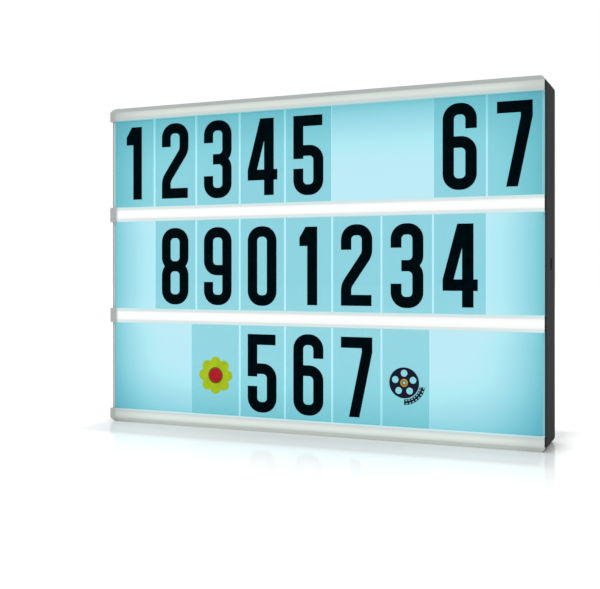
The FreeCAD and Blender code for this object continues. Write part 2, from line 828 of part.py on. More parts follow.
def battery_door():
    """Flush door that swings on two hooks along its lower edge, with a springy latch tab at the top."""
    z = battery_centre_z
    inner_y = back_y - door_thickness
    door = plate(0, z, door_half_width, door_half_height, door_corner_radius, inner_y, back_y)
    low, high = z - door_half_height, z + door_half_height
    hook_y = inner_back_y - hook_gap - hook_thickness
    hooks = []
    for sx in (-1, 1):
        x0, x1 = sx * hook_spread - hook_width / 2, sx * hook_spread + hook_width / 2
        hooks.append(block(x0, x1, hook_y, inner_y, low, low + hook_root))
        tip_z = low - door_clearance - hook_reach
        hooks.append(block(x0, x1, hook_y, hook_y + hook_thickness, tip_z, low))
    slots = []
    for x in (-latch_width / 2, latch_width / 2):
        x0, x1 = x - latch_slot / 2, x + latch_slot / 2
        slots.append(block(x0, x1, inner_y - 1, back_y + 1, high - latch_slot_length, high + 1))
    scoop_low = high - latch_slot_length + latch_slot
    scoop_floor = back_y - scoop_depth
    half = scoop_width / 2
    scoop = block(-half, half, scoop_floor, back_y + 1, scoop_low, scoop_low + scoop_height)
    ridge_pitch = scoop_height / 4
    ridges = []
    for i in range(3):
        ridge_low = scoop_low + ridge_pitch * (i + 1) - grip_ridge / 2
        heights = (ridge_low, ridge_low + grip_ridge)
        ridges.append(block(-half, half, scoop_floor, scoop_floor + grip_ridge, *heights))
    return joined([door] + hooks).cut(group(slots + [scoop])).multiFuse(ridges).removeSplitter()


def battery_leads():
    """Two leads from the tub to the connector on the control board."""
    end_x = board_left_x + connector_inset
    run = end_x - tub_half_length
    end_y = board_front_y - connector_depth / 2
    start_y = end_y + lead_wire_rise
    leads = []
    for i in (-0.5, 0.5):
        start_z = battery_centre_z + lead_wire_pitch * i
        end_z = connector_z + lead_wire_pitch * i
        bend_z = end_z - (end_z - start_z) / 3
        points = [
            (tub_half_length, start_y, start_z),
            (tub_half_length + 0.3 * run, start_y, start_z),
            (tub_half_length + 0.6 * run, end_y, bend_z),
            (tub_half_length + 0.8 * run, end_y, end_z),
            (end_x, end_y, end_z),
        ]
        leads.append(wire(points, lead_wire_radius))
    return group(leads)


# ---- every node ----
frame = front_frame()
nodes = {
    "rear_housing": rear_housing(),
    "front_frame": frame,
    "diffuser_panel": diffuser_panel(),
    "top_rail": outer_rail(box_height, -1, frame),
    "upper_middle_rail": middle_rail(rail_centres[1], frame),
    "lower_middle_rail": middle_rail(rail_centres[0], frame),
    "bottom_rail": outer_rail(0.0, 1, frame),
    "housing_screws": housing_screws(),
    "reflector_tray": reflector_tray(),
    "tray_screws": tray_screws(),
    "strip_jumpers": strip_jumpers(),
    "strip_leads": strip_leads(),
    "control_board": control_board(),
    "board_screws": board_screws(),
    "board_components": board_components(),
    "board_connector": board_connector(),
    "power_socket": power_socket(),
    "socket_centre_pin": socket_centre_pin(),
    "power_switch_body": power_switch_body(),
    "power_switch_knob": power_switch_knob(),
    "tact_switch_body": tact_switch_body(),
    "tact_plunger": tact_plunger(),
    "mode_button": mode_button(),
    "battery_tub": battery_tub(),
    "tub_screws": tub_screws(),
    "battery_cells": battery_cells(),
    "battery_plates": battery_plates(),
    "battery_springs": battery_springs(),
    "battery_door": battery_door(),
    "battery_leads": battery_leads(),
}
row_names = ["lower", "middle", "upper"]
for row, row_name in enumerate(row_names):
    nodes["led_strip_" + row_name] = led_strip(row)
    nodes["led_chips_" + row_name] = led_chips(row)

filled_columns = {"upper": [1, 2, 3, 4, 5, 8, 9], "middle": [2, 3, 4, 5, 6, 7, 8], "lower": [4, 5, 6]}
for row, row_name in enumerate(row_names):
    for column in filled_columns[row_name]:
        nodes[f"{row_name}_card_{column}"] = card(row, column)
nodes["lower_card_3"] = card(0, 3, extra_left=wide_card_extra)
nodes["lower_card_7"] = card(0, 7, cut_right=narrow_card_cut)

os.makedirs("parts", exist_ok=True)
for name, shape in nodes.items():
    shape.exportStep(f"parts/{name}.step")
    print(name, "solids", len(shape.Solids), "valid", shape.isValid(), "volume", round(shape.Volume, 1))
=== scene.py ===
# %% [markdown]
# # A light box with sliding character cards
# The object is a shallow box with a glowing front. A charcoal ABS housing carries a lamp tray, a circuit
# board and six cells, and an opal acrylic panel spreads the light. Four acrylic rails cross the panel, and
# clear film cards with printed characters slide between them.
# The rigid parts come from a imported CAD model, already in place and in metres, so this script adds what a
# CAD model lacks: finishes, printed ink, wound springs, light and a camera.

import json
import math

import bmesh
import bpy
from mathutils import Matrix, Vector


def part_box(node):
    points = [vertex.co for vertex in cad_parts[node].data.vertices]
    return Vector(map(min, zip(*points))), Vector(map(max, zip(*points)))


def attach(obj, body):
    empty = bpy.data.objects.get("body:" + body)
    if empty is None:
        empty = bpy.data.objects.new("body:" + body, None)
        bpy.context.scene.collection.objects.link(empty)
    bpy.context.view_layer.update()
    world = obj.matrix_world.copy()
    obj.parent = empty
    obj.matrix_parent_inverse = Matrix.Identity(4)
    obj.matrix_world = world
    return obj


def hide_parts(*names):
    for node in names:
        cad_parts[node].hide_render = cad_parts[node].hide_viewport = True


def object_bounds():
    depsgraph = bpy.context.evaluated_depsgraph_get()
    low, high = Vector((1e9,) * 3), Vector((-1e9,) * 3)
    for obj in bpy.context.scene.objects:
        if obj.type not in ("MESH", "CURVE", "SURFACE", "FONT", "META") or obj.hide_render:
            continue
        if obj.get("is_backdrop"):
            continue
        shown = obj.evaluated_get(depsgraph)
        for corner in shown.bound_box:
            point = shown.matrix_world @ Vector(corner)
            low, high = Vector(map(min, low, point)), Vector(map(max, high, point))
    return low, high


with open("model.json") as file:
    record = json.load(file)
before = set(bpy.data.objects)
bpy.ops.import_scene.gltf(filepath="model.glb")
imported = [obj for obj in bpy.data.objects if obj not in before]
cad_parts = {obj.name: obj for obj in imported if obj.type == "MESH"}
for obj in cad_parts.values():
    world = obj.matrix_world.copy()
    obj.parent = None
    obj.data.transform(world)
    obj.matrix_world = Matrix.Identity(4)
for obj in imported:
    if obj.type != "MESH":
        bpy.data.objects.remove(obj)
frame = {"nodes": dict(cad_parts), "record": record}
nodes = frame["nodes"]
body_of = {
    node: body
    for body, members in frame["record"]["behaviour"]["bodies"].items()
    for node in members
}
cad_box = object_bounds()
MM = 0.001  # a millimetre, in metres

# %% [markdown]
# ## Camera
# The view is from the right, 23 degrees off the front, with the lens level with the box's middle, so
# upright edges stay upright. A lens shift moves the picture up or down without tilting the camera, as an
# architect's camera does. The alternative, a tilt, would make those edges lean.


# %% Place the camera
def in_scene(name, data):
    """A new object for some data, linked to the scene."""
    made = bpy.data.objects.new(name, data)
    bpy.context.scene.collection.objects.link(made)
    return made


camera_data = bpy.data.cameras.new("camera")
camera_data.lens = 56.889
camera_data.sensor_width = 36.0
camera_data.shift_y = -0.03854
camera_data.clip_start = 0.05
camera = in_scene("camera", camera_data)
camera.location = (0.23697, -0.58202, 0.10549)
camera.rotation_euler = (math.radians(90.0), 0.0, math.radians(23.281))
bpy.context.scene.camera = camera
print("camera", [round(c, 3) for c in camera.location])

# %% [markdown]
# ## Colour and node helpers
# A colour code such as #F2EFE9 is written for a screen, while Blender mixes light, so each code is turned
# into linear light once, here. A second helper fills a node's inputs, with numbers or with other nodes'
# outputs, and a third adds any shader node with its settings, its inputs and a ramp's stops. Two more
# start a finish and give it to the CAD model's parts.


# %% Colour and node helpers
def linear(code):
    """The linear colour of an sRGB hex code."""
    parts = [int(code[i : i + 2], 16) / 255 for i in (1, 3, 5)]
    return [p / 12.92 if p <= 0.04045 else ((p + 0.055) / 1.055) ** 2.4 for p in parts] + [1.0]


def feed(tree, node, inputs):
    """Fills a node's inputs, each with a number or with another node's output."""
    for socket, value in inputs.items():
        if isinstance(value, bpy.types.NodeSocket):
            tree.links.new(value, node.inputs[socket])
        else:
            node.inputs[socket].default_value = value


def add(tree, kind, inputs=None, stops=None, **settings):
    """Adds a node, with its settings, its inputs (numbers or other outputs) and a ramp's stops."""
    node = tree.nodes.new("ShaderNode" + kind)
    for name, value in settings.items():
        setattr(node, name, value)
    feed(tree, node, inputs or {})
    if stops:
        elements = node.color_ramp.elements
        while len(elements) < len(stops):
            elements.new(1.0)
        for element, (place, code) in zip(elements, stops):
            element.position = place
            element.color = linear(code)
    return node


def new_finish(name, **constants):
    """A material with one Principled shader. Constants are its sockets, with _ for a space."""
    material = bpy.data.materials.new(name)
    material.use_nodes = True
    tree = material.node_tree
    shader = tree.nodes["Principled BSDF"]
    for socket, value in constants.items():
        shader.inputs[socket.replace("_", " ")].default_value = value
    place = add(tree, "TexCoord").outputs["Object"]
    return material, tree, shader, place


def paint(material, *names):
    """Gives CAD nodes a finish, through their objects' material slots."""
    for name in names:
        for holder in nodes[name].material_slots:
            holder.material = material
    print(f"{material.name}: {len(names)} parts")


print("white is", [round(c, 3) for c in linear("#FFFFFF")])

# %% [markdown]
# ## Moulded plastics
# ABS is an opaque, slightly soft-looking plastic. The mould's inner face is spark-eroded, which leaves a
# fine even grain on every outer surface, and that grain breaks up reflections. The real grain is about
# 0.2 mm, which is under a pixel here, so it is drawn 0.7 mm coarse at a small depth.
# A second, larger noise shifts the colour a little, as uneven cooling does. The same recipe makes every
# moulded part, with its own colour, roughness and grain.


# %% Moulded plastic recipe
NOISE_RANGE = {1: 0.3, 2: 0.7}  # nearly all of a noise lies between these
GLOSS_SWING = 0.06  # how far the grain moves the roughness, each way


def moulded(name, dark, pale, roughness, grain_mm=0.7, depth_mm=0.02, cloud_mm=40.0, shine=0.5):
    """An injection-moulded plastic: cloudy colour between two codes, grained gloss and surface."""
    material, tree, shader, place = new_finish(name, IOR=1.53, Specular_IOR_Level=shine)
    cloud = add(tree, "TexNoise", {"Vector": place, "Scale": 1 / (cloud_mm * MM), "Detail": 3.0})
    colour = add(tree, "ValToRGB", {0: cloud.outputs[0]}, [(0.35, dark), (0.65, pale)])
    grain = add(tree, "TexNoise", {"Vector": place, "Scale": 1 / (grain_mm * MM), "Detail": 2.0})
    levels = {3: roughness - GLOSS_SWING, 4: roughness + GLOSS_SWING}
    gloss = add(tree, "MapRange", {"Value": grain.outputs[0], **NOISE_RANGE, **levels})
    relief = {"Height": grain.outputs[0], "Strength": 0.8, "Distance": depth_mm * MM}
    bump = add(tree, "Bump", relief)
    feed(tree, shader, {"Base Color": colour.outputs[0], "Roughness": gloss.outputs[0]})
    feed(tree, shader, {"Normal": bump.outputs[0]})
    return material


charcoal = moulded("charcoal ABS", "#272A29", "#2B2D2D", 0.7, depth_mm=0.04, shine=0.03)
paint(charcoal, "rear_housing", "battery_door", "battery_tub")
paint(moulded("white styrene", "#EEF0EE", "#F4F5F3", 0.35, depth_mm=0.01), "reflector_tray")
paint(moulded("black glass-filled nylon", "#161717", "#1D1E1E", 0.45, grain_mm=0.4),
      "board_components", "power_socket", "power_switch_body", "tact_switch_body")
paint(moulded("natural nylon", "#E9E4D6", "#EFEBDF", 0.4, depth_mm=0.01), "board_connector")
paint(moulded("black acetal", "#141515", "#1A1B1B", 0.33, grain_mm=0.5, depth_mm=0.01),
      "power_switch_knob", "tact_plunger")
paint(moulded("grey soft-touch ABS", "#7C8180", "#848988", 0.6), "mode_button")

# %% [markdown]
# ## The front frame
# The front frame is moulded in white ABS, but its outer edge, which shows beside the housing, is sprayed
# charcoal, so that from the side the box is dark up to the rails. One piece with two colours
# needs a mask. Here it is the distance outwards from a rectangle drawn inside the box's rounded outline:
# on the outer skin that distance is the corner radius, 3.5 mm, everywhere, and on the rest it is less.
# The rails' ends are sprayed too, so the spray is a helper that any finish can use.
# The panel's light comes through the frame's thin right rim, and is painted into its colour as a blue-green
# glow. A second mask, of all that is beyond a distance to the right, puts that painted glow there.


# %% Front frame
CHARCOAL_PAINT = "#272A2A"
CORNER = 3.5  # radius of the box's rounded outline, mm
SPRAY_REACH = 0.4  # how far the spray comes round the frame's front edge, mm
RIGHT_RIM = 140.0  # beyond this, the panel's light through the frame is painted on, mm


def spray_charcoal(tree, shader, where):
    """Covers a finish with matt charcoal paint where a mask is 1."""
    colour = shader.inputs["Base Color"]
    under = {6: colour.links[0].from_socket if colour.links else tuple(colour.default_value)}
    painted = add(tree, "Mix", {0: where, **under, 7: linear(CHARCOAL_PAINT)}, data_type="RGBA")
    gloss = shader.inputs["Roughness"].links[0].from_socket
    rough = add(tree, "Math", {0: gloss, 1: where}, operation="MAXIMUM")
    mirror = add(tree, "MapRange", {"Value": where, 3: 0.5, 4: 0.02})  # the paint hardly reflects
    feed(tree, shader, {"Base Color": painted.outputs[2], "Roughness": rough.outputs[0]})
    feed(tree, shader, {"Specular IOR Level": mirror.outputs[0]})


# The white ABS is given as a light grey: the shade on the recessed rim is painted into its colour.
frame_white_painted_shade = moulded("white ABS in painted shade, with a charcoal edge", "#B9BEBB", "#BFC4C1", 0.42, depth_mm=0.01)
tree = frame_white_painted_shade.node_tree
shader = tree.nodes["Principled BSDF"]
place = next(n for n in tree.nodes if n.type == "TEX_COORD").outputs["Object"]
across = add(tree, "SeparateXYZ", {0: place}).outputs["X"]
right_rim = add(tree, "Math", {0: across, 1: RIGHT_RIM * MM}, operation="GREATER_THAN")
# The blue-green is a painted glow of the panel's light through the right rim.
sides = {6: shader.inputs["Base Color"].links[0].from_socket, 7: linear("#7DBEC6")}
painted_rim_glow = add(tree, "Mix", {0: right_rim.outputs[0], **sides}, data_type="RGBA")
feed(tree, shader, {"Base Color": painted_rim_glow.outputs[2]})
low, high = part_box("rear_housing")
middle_z = (low.z + high.z) / 2
inner = (high.x - CORNER * MM, 1.0, middle_z - CORNER * MM)  # a metre, so depth doesn't count
for operation, amount in (
    ("SUBTRACT", (0, 0, middle_z)),
    ("ABSOLUTE", (0, 0, 0)),
    ("SUBTRACT", inner),
    ("MAXIMUM", (0, 0, 0)),
):
    place = add(tree, "VectorMath", {0: place, 1: amount}, operation=operation).outputs[0]
outwards = add(tree, "VectorMath", {0: place}, operation="LENGTH").outputs["Value"]
edge = add(tree, "Math", {0: outwards, 1: (CORNER - SPRAY_REACH) * MM}, operation="GREATER_THAN")
spray_charcoal(tree, shader, edge.outputs[0])
paint(frame_white_painted_shade, "front_frame")

# %% [markdown]
# ## Plated metals
# The screws are steel with a bright zinc plate, and the contacts are nickel-plated spring steel. Plating
# is shiny, but barrel tumbling leaves it slightly hazy in patches, so the roughness wanders with a noise.
# A metal has no diffuse colour: its base colour is the tint of its mirror.


# %% Plated metal recipe
def plated(name, code, low, high, patch_mm=1.2):
    """A plated metal whose roughness wanders between two values in patches."""
    material, tree, shader, place = new_finish(name, Metallic=1.0, Base_Color=linear(code))
    patch = add(tree, "TexNoise", {"Vector": place, "Scale": 1 / (patch_mm * MM), "Detail": 4.0})
    haze = add(tree, "MapRange", {"Value": patch.outputs[0], **NOISE_RANGE, 3: low, 4: high})
    feed(tree, shader, {"Roughness": haze.outputs[0]})
    return material


zinc = plated("zinc-plated steel", "#C3C8CB", 0.22, 0.42)
nickel = plated("nickel-plated steel", "#D2CDC0", 0.15, 0.3)
paint(zinc, "housing_screws", "tray_screws", "board_screws", "tub_screws")
paint(nickel, "socket_centre_pin", "battery_plates", "battery_springs")

# %% [markdown]
# ## Circuit boards
# The control board is glass-epoxy under green solder mask, and the lamps sit on white-masked aluminium
# strips. Copper tracks show through a mask as slightly paler lines. They are drawn with a brick pattern
# turned to face forwards: its bricks are the mask and its joints are the tracks. On the strips each
# brick is one 27 mm length, where such a strip may be cut.


# %% Circuit boards
def masked_board(name, mask, mask_pale, track, brick_mm, row_mm, joint_mm):
    """Solder mask over a brick-like pattern of tracks, seen along Y."""
    material, tree, shader, place = new_finish(name, IOR=1.5)
    turned = add(tree, "Mapping", {"Vector": place, "Rotation": (math.radians(90), 0, 0)})
    bricks = {
        "Vector": turned.outputs[0],
        "Color1": linear(mask),
        "Color2": linear(mask_pale),
        "Mortar": linear(track),
        "Scale": 1.0,
        "Mortar Size": joint_mm * MM / 2,
        "Brick Width": brick_mm * MM,
        "Row Height": row_mm * MM,
    }
    tracks = add(tree, "TexBrick", bricks)
    wave = add(tree, "TexNoise", {"Vector": place, "Scale": 1 / (2.0 * MM), "Detail": 2.0})
    gloss = add(tree, "MapRange", {"Value": wave.outputs[0], 3: 0.2, 4: 0.45})
    feed(tree, shader, {"Base Color": tracks.outputs["Color"], "Roughness": gloss.outputs[0]})
    return material


green_board = masked_board("green solder mask", "#1E5B38", "#23633E", "#3E7F55", 4.2, 1.6, 0.35)
paint(green_board, "control_board")
rows = ("lower", "middle", "upper")
strips = masked_board("white solder mask", "#EDEFEA", "#F1F2EE", "#C9B891", 27.0, 5.0, 0.5)
paint(strips, *(f"led_strip_{row}" for row in rows))

# %% [markdown]
# ## The lamps
# Each lamp is a white ceramic-filled package with a round window of yellow phosphor over a blue chip. There
# are 27 of them at an even pitch, so one pattern can draw all the windows: the position is divided by
# the pitch and only the fraction is kept, which puts every lamp's middle at one place, and then the
# distance from that middle says whether a point is window or package.


# %% Lamps
def middle_height(name):
    """The height of the middle of a CAD node's box."""
    return sum(corner.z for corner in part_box(name)) / 2


LAMP_PITCH = 27.0  # mm
NO_REPEAT = 1000.0  # a pitch so long that nothing repeats along it, metres
WINDOW_REACH = 3.0  # the window's ramp ends at this distance from a lamp's middle, mm
row_middle = middle_height("led_strip_middle")
row_pitch = row_middle - middle_height("led_strip_lower")
lamp, tree, shader, place = new_finish("lamp package with phosphor", Roughness=0.35, IOR=1.5)
pitch = (LAMP_PITCH * MM, NO_REPEAT, row_pitch)
for operation, amount in (
    ("SUBTRACT", (0, 0, row_middle)),
    ("DIVIDE", pitch),
    ("ADD", (0.5, 0.5, 0.5)),
    ("FRACTION", (0, 0, 0)),
    ("SUBTRACT", (0.5, 0.5, 0.5)),
    ("MULTIPLY", (pitch[0], 0, row_pitch)),
):
    place = add(tree, "VectorMath", {0: place, 1: amount}, operation=operation).outputs[0]
off_centre = add(tree, "VectorMath", {0: place}, operation="LENGTH").outputs["Value"]
reach = add(tree, "MapRange", {"Value": off_centre, 1: 0.0, 2: WINDOW_REACH * MM})
window_stops = [(0.0, "#E9C93C"), (0.55, "#E3D166"), (0.6, "#A9A58C"), (0.66, "#F0F0EA")]
window = add(tree, "ValToRGB", {0: reach.outputs[0]}, window_stops)
feed(tree, shader, {"Base Color": window.outputs[0]})
paint(lamp, *(f"led_chips_{row}" for row in rows))

# %% [markdown]
# ## Wires
# Hook-up wire has soft PVC round its copper, red for plus and black for minus. Both wires of a pair are in
# one part, so the colour is chosen by which side of the line between them a point is on.


# %% Wires
def pair_of_wires(name, axis, divide):
    """PVC wire, red on one side of a plane across an axis and black on the other."""
    material, tree, shader, place = new_finish(name, IOR=1.53)
    along = add(tree, "SeparateXYZ", {0: place}).outputs[axis]
    other = add(tree, "Math", {0: along, 1: divide}, operation="GREATER_THAN")
    soft = add(tree, "TexNoise", {"Vector": place, "Scale": 1 / (1.5 * MM), "Detail": 1.0})
    gloss = add(tree, "MapRange", {"Value": soft.outputs[0], 3: 0.3, 4: 0.5})
    colours = {6: linear("#A3201C"), 7: linear("#1A1A1A")}
    colour = add(tree, "Mix", {0: other.outputs[0], **colours}, data_type="RGBA")
    feed(tree, shader, {"Base Color": colour.outputs[2], "Roughness": gloss.outputs[0]})
    return material


for name, axis in (("strip_jumpers", "X"), ("strip_leads", "Z")):
    low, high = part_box(name)
    index = "XYZ".index(axis)
    divide = (low[index] + high[index]) / 2
    paint(pair_of_wires("PVC wire, " + name.replace("_", " "), axis, divide), name)
black_wire = moulded("black PVC wire", "#181818", "#202020", 0.4, depth_mm=0.005)
paint(black_wire, "battery_leads")

# %% [markdown]
# ## The cells
# The cells are AA size: a nickel can in a shrunk plastic sleeve. The sleeve is plain blue-grey with a pale
# band that marks the positive end. Alternate cells point opposite ways, outwards in the outer rows
# and inwards in the middle one, so the position along a cell is turned round for the middle row before
# a ramp colours it.

# %% Cells
BANK_NEAR, BANK_FAR = 1.9, 59.3  # a bank's cells run between these distances from the middle, mm
CELL, BUTTON = 49.2, 1.3  # lengths of a cell's body and of its positive button, mm
BARE_TIP = 1.6  # how far the sleeve stays back from the button's tip, mm
BARE_BASE = 0.012  # how far it stays back from the flat end, as a share of the bank
METAL, SLEEVE, BAND = "#C9C7C0", "#2F5066", "#D9DBD8"
cells, tree, shader, place = new_finish("cell sleeve and nickel can", IOR=1.5)
axes = add(tree, "SeparateXYZ", {0: place})
from_middle = add(tree, "Math", {0: axes.outputs["X"]}, operation="ABSOLUTE").outputs[0]
low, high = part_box("battery_cells")
row_test = {0: axes.outputs["Z"], 1: (low.z + high.z) / 2, 2: (high.z - low.z) / 6}
middle_row = add(tree, "Math", row_test, operation="COMPARE").outputs[0]
bank = {"Value": from_middle, 1: BANK_NEAR * MM, 2: BANK_FAR * MM}
outwards = add(tree, "MapRange", bank).outputs[0]
inwards = add(tree, "Math", {0: 1.0, 1: outwards}, operation="SUBTRACT").outputs[0]
along = add(tree, "Mix", {0: middle_row, 2: outwards, 3: inwards}).outputs[0]
span = BANK_FAR - BANK_NEAR
begin = 1 - (CELL + BUTTON) / span + BARE_BASE
end = 1 - BARE_TIP / span
cell_stops = [(0.0, METAL), (begin, SLEEVE), (0.80, BAND), (0.86, SLEEVE), (end, METAL)]
sleeve = add(tree, "ValToRGB", {0: along}, cell_stops)
metal_stops = [(0.0, "#FFFFFF"), (begin, "#000000"), (end, "#FFFFFF")]
bare = add(tree, "ValToRGB", {0: along}, metal_stops)
for ramp in (sleeve, bare):
    ramp.color_ramp.interpolation = "CONSTANT"
rub = add(tree, "TexNoise", {"Vector": place, "Scale": 1 / (4.0 * MM), "Detail": 4.0})
gloss = add(tree, "MapRange", {"Value": rub.outputs[0], **NOISE_RANGE, 3: 0.25, 4: 0.4})
feed(tree, shader, {"Base Color": sleeve.outputs[0], "Roughness": gloss.outputs[0]})
feed(tree, shader, {"Metallic": bare.outputs[0]})
paint(cells, "battery_cells")

# %% [markdown]
# ## Wound springs
# The negative contacts are conical springs of nickel-plated wire. The CAD part keeps their room as plain
# ribbed cones, and these wound ones stand for them. A spring is a small circle swept round an axis
# while it moves along it, so a spin with a step along the axis winds it in one go. The coil is then drawn
# in towards its tip. A curve with a bevel would do as well, but its taper is harder to control.

# %% Measure the cones
corners = [v.co for v in nodes["battery_springs"].data.vertices]
low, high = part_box("battery_springs")
axis_y = (low.y + high.y) / 2
row_heights = [low.z + (high.z - low.z) * share for share in (0.1, 0.5, 0.9)]
cones = []  # the base and the tip of each, along X, and the height of its axis
for side in (-1, 1):
    for index in range(3):
        mine = [
            co
            for co in corners
            if co.x * side > 0
            and min(range(3), key=lambda i: abs(co.z - row_heights[i])) == index
        ]
        centre_z = (min(c.z for c in mine) + max(c.z for c in mine)) / 2
        ends = min(c.x for c in mine), max(c.x for c in mine)
        points_outwards = index != 1
        base, tip = ends if (side > 0) == points_outwards else ends[::-1]
        cones.append((base, tip, centre_z))
print(len(cones), "cones,", round(abs(cones[0][1] - cones[0][0]) / MM, 1), "mm long")


# %% Wind the springs
def from_bmesh(name, bm):
    """Makes an object of a finished bmesh."""
    mesh = bpy.data.meshes.new(name)
    bm.to_mesh(mesh)
    bm.free()
    return in_scene(name, mesh)


WIRE, WIRE_SIDES = 0.35, 8  # the wire's radius, mm, and how many sides it is drawn with
COIL = 3.3  # the coil's radius at its base, mm
TURNS, STEPS_A_TURN = 4, 20
TIP_SHARE = 0.62  # the tip's radius as a share of the base's
steps = TURNS * STEPS_A_TURN
upright = Matrix.Rotation(math.pi / 2, 4, "X")  # stands a flat circle up to face forwards
spring_bm = bmesh.new()
for base, tip, centre_z in cones:
    towards = 1 if tip > base else -1
    run = abs(tip - base) - 2 * WIRE * MM
    start = Matrix.Translation((base + towards * WIRE * MM, axis_y, centre_z + COIL * MM))
    made = bmesh.ops.create_circle(
        spring_bm, segments=WIRE_SIDES, radius=WIRE * MM, matrix=start @ upright
    )["verts"]
    rim = [e for e in spring_bm.edges if all(v in made for v in e.verts)]
    before = set(spring_bm.verts)
    bmesh.ops.spin(
        spring_bm,
        geom=made + rim,
        cent=(0.0, axis_y, centre_z),
        axis=(1.0, 0.0, 0.0),
        dvec=(towards * run / steps, 0.0, 0.0),
        angle=TURNS * 2 * math.pi,
        steps=steps,
        use_duplicate=False,
    )
    for v in made + [v for v in spring_bm.verts if v not in before]:
        way = abs(v.co.x - base) / abs(tip - base)
        draw = 1 - (1 - TIP_SHARE) * min(1.0, way)
        v.co.y = axis_y + (v.co.y - axis_y) * draw
        v.co.z = centre_z + (v.co.z - centre_z) * draw
cut_ends = [e for e in spring_bm.edges if e.is_boundary]
bmesh.ops.holes_fill(spring_bm, edges=cut_ends, sides=WIRE_SIDES)
bmesh.ops.recalc_face_normals(spring_bm, faces=spring_bm.faces)
open_edges = sum(not e.is_manifold for e in spring_bm.edges)
springs = from_bmesh("wound_springs", spring_bm)
springs.data.polygons.foreach_set("use_smooth", [True] * len(springs.data.polygons))
springs.data.materials.append(nickel)
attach(springs, body_of["battery_springs"])
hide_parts("battery_springs")
print(len(cones), "springs,", len(springs.data.polygons), "faces,", open_edges, "open edges")

# %% [markdown]
# ## The opal panel
# The panel is opal acrylic, a milky sheet that scatters the light of the lamps behind it. The lamps don't
# reach its margins, so it is palest in the middle and turns to a deeper blue-green near the sides, the
# bottom and most of all the top. One way is to light it with real lamps from behind, but light through a
# milky sheet is slow to render and noisy. Here the panel emits light itself: three falls of brightness,
# one for the sides, one for the top and one for the bottom, are multiplied, and a ramp turns brightness
# into colour. A curve with a power of 1.9 follows how such a margin fades. The lower corners lose a
# little more, and beside the rails the panel gains a little, from light that their stems turn back.

# %% Opal panel
panel, tree, shader, place = new_finish(
    "opal acrylic",
    Base_Color=linear("#1E3A40"),
    Roughness=0.45,
    IOR=1.49,
    Specular_IOR_Level=0.2,
    Emission_Strength=0.93,
)
axes = add(tree, "SeparateXYZ", {0: place})
across = add(tree, "Math", {0: axes.outputs["X"]}, operation="ABSOLUTE").outputs[0]
height = axes.outputs["Z"]

FALL_POWER = 1.9
CORNER_LOSS = 0.16
RAIL_GAIN = 1.06
factors = []
for along, start, end, loss in [  # the fall starts and ends at these distances, in metres
    (across, 0.104, 0.150, 0.69),
    (height, 0.166, 0.220, 0.90),
    (height, 0.050, 0.000, 0.72),
]:
    near = add(tree, "MapRange", {"Value": along, 1: start, 2: end})
    bend = add(tree, "Math", {0: near.outputs[0], 1: FALL_POWER}, operation="POWER")
    kept = {0: bend.outputs[0], 1: -loss, 2: 1.0}
    factors.append(add(tree, "Math", kept, operation="MULTIPLY_ADD"))
side = add(tree, "MapRange", {"Value": across, 1: 0.085, 2: 0.135})
foot = add(tree, "MapRange", {"Value": height, 1: 0.070, 2: 0.020})
corner = add(tree, "Math", {0: side.outputs[0], 1: foot.outputs[0]}, operation="MULTIPLY")
kept = {0: corner.outputs[0], 1: -CORNER_LOSS, 2: 1.0}
factors.append(add(tree, "Math", kept, operation="MULTIPLY_ADD"))
low = middle_height("lower_middle_rail")
between = middle_height("upper_middle_rail") - low
to_rail = add(tree, "Math", {0: height, 1: low - between}, operation="SUBTRACT").outputs[0]
to_rail = add(tree, "Math", {0: to_rail, 1: between / 2}, operation="PINGPONG").outputs[0]
rail_glow = {"Value": to_rail, 1: 0.016, 2: 0.005, 3: 1.0, 4: RAIL_GAIN}
factors.append(add(tree, "MapRange", rail_glow))
brightness = factors[0].outputs[0]
for factor in factors[1:]:
    both = {0: brightness, 1: factor.outputs[0]}
    brightness = add(tree, "Math", both, operation="MULTIPLY").outputs[0]
print(len(factors), "falls and gains of brightness")

# %% Colour the panel by its brightness
panel_stops = [
    (0.0, "#3C93AC"),
    (0.25, "#63B4C6"),
    (0.40, "#7BC7D5"),
    (0.55, "#90D4E1"),
    (0.73, "#A4E0EB"),
    (0.87, "#B2EBF4"),
    (1.0, "#BFECF7"),
]
glow = add(tree, "ValToRGB", {0: brightness}, panel_stops)
feed(tree, shader, {"Emission Color": glow.outputs[0]})
paint(panel, "diffuser_panel")

# %% [markdown]
# ## The rails
# The rails are satin acrylic, a little grey in daylight. Their middle stands on the glowing panel, so light
# runs through it and comes out as a white band along the two middle rails, while the lips over the cards
# only glow softly. The top and bottom rails sit over the panel's margin and glow less. The top bevel
# doesn't glow at all, and the bottom one catches the glow of the table. As with the panel, the light is
# painted as emission: a ramp across the rail's height gives its colour, and a ramp along it takes
# some away towards the ends, where the stem stops.


# %% Rail recipe
HALF_LENGTH = 150.0  # half of every rail's length, mm
END_SKIN = 0.05  # depth of the skin at a rail's ends that is sprayed, mm


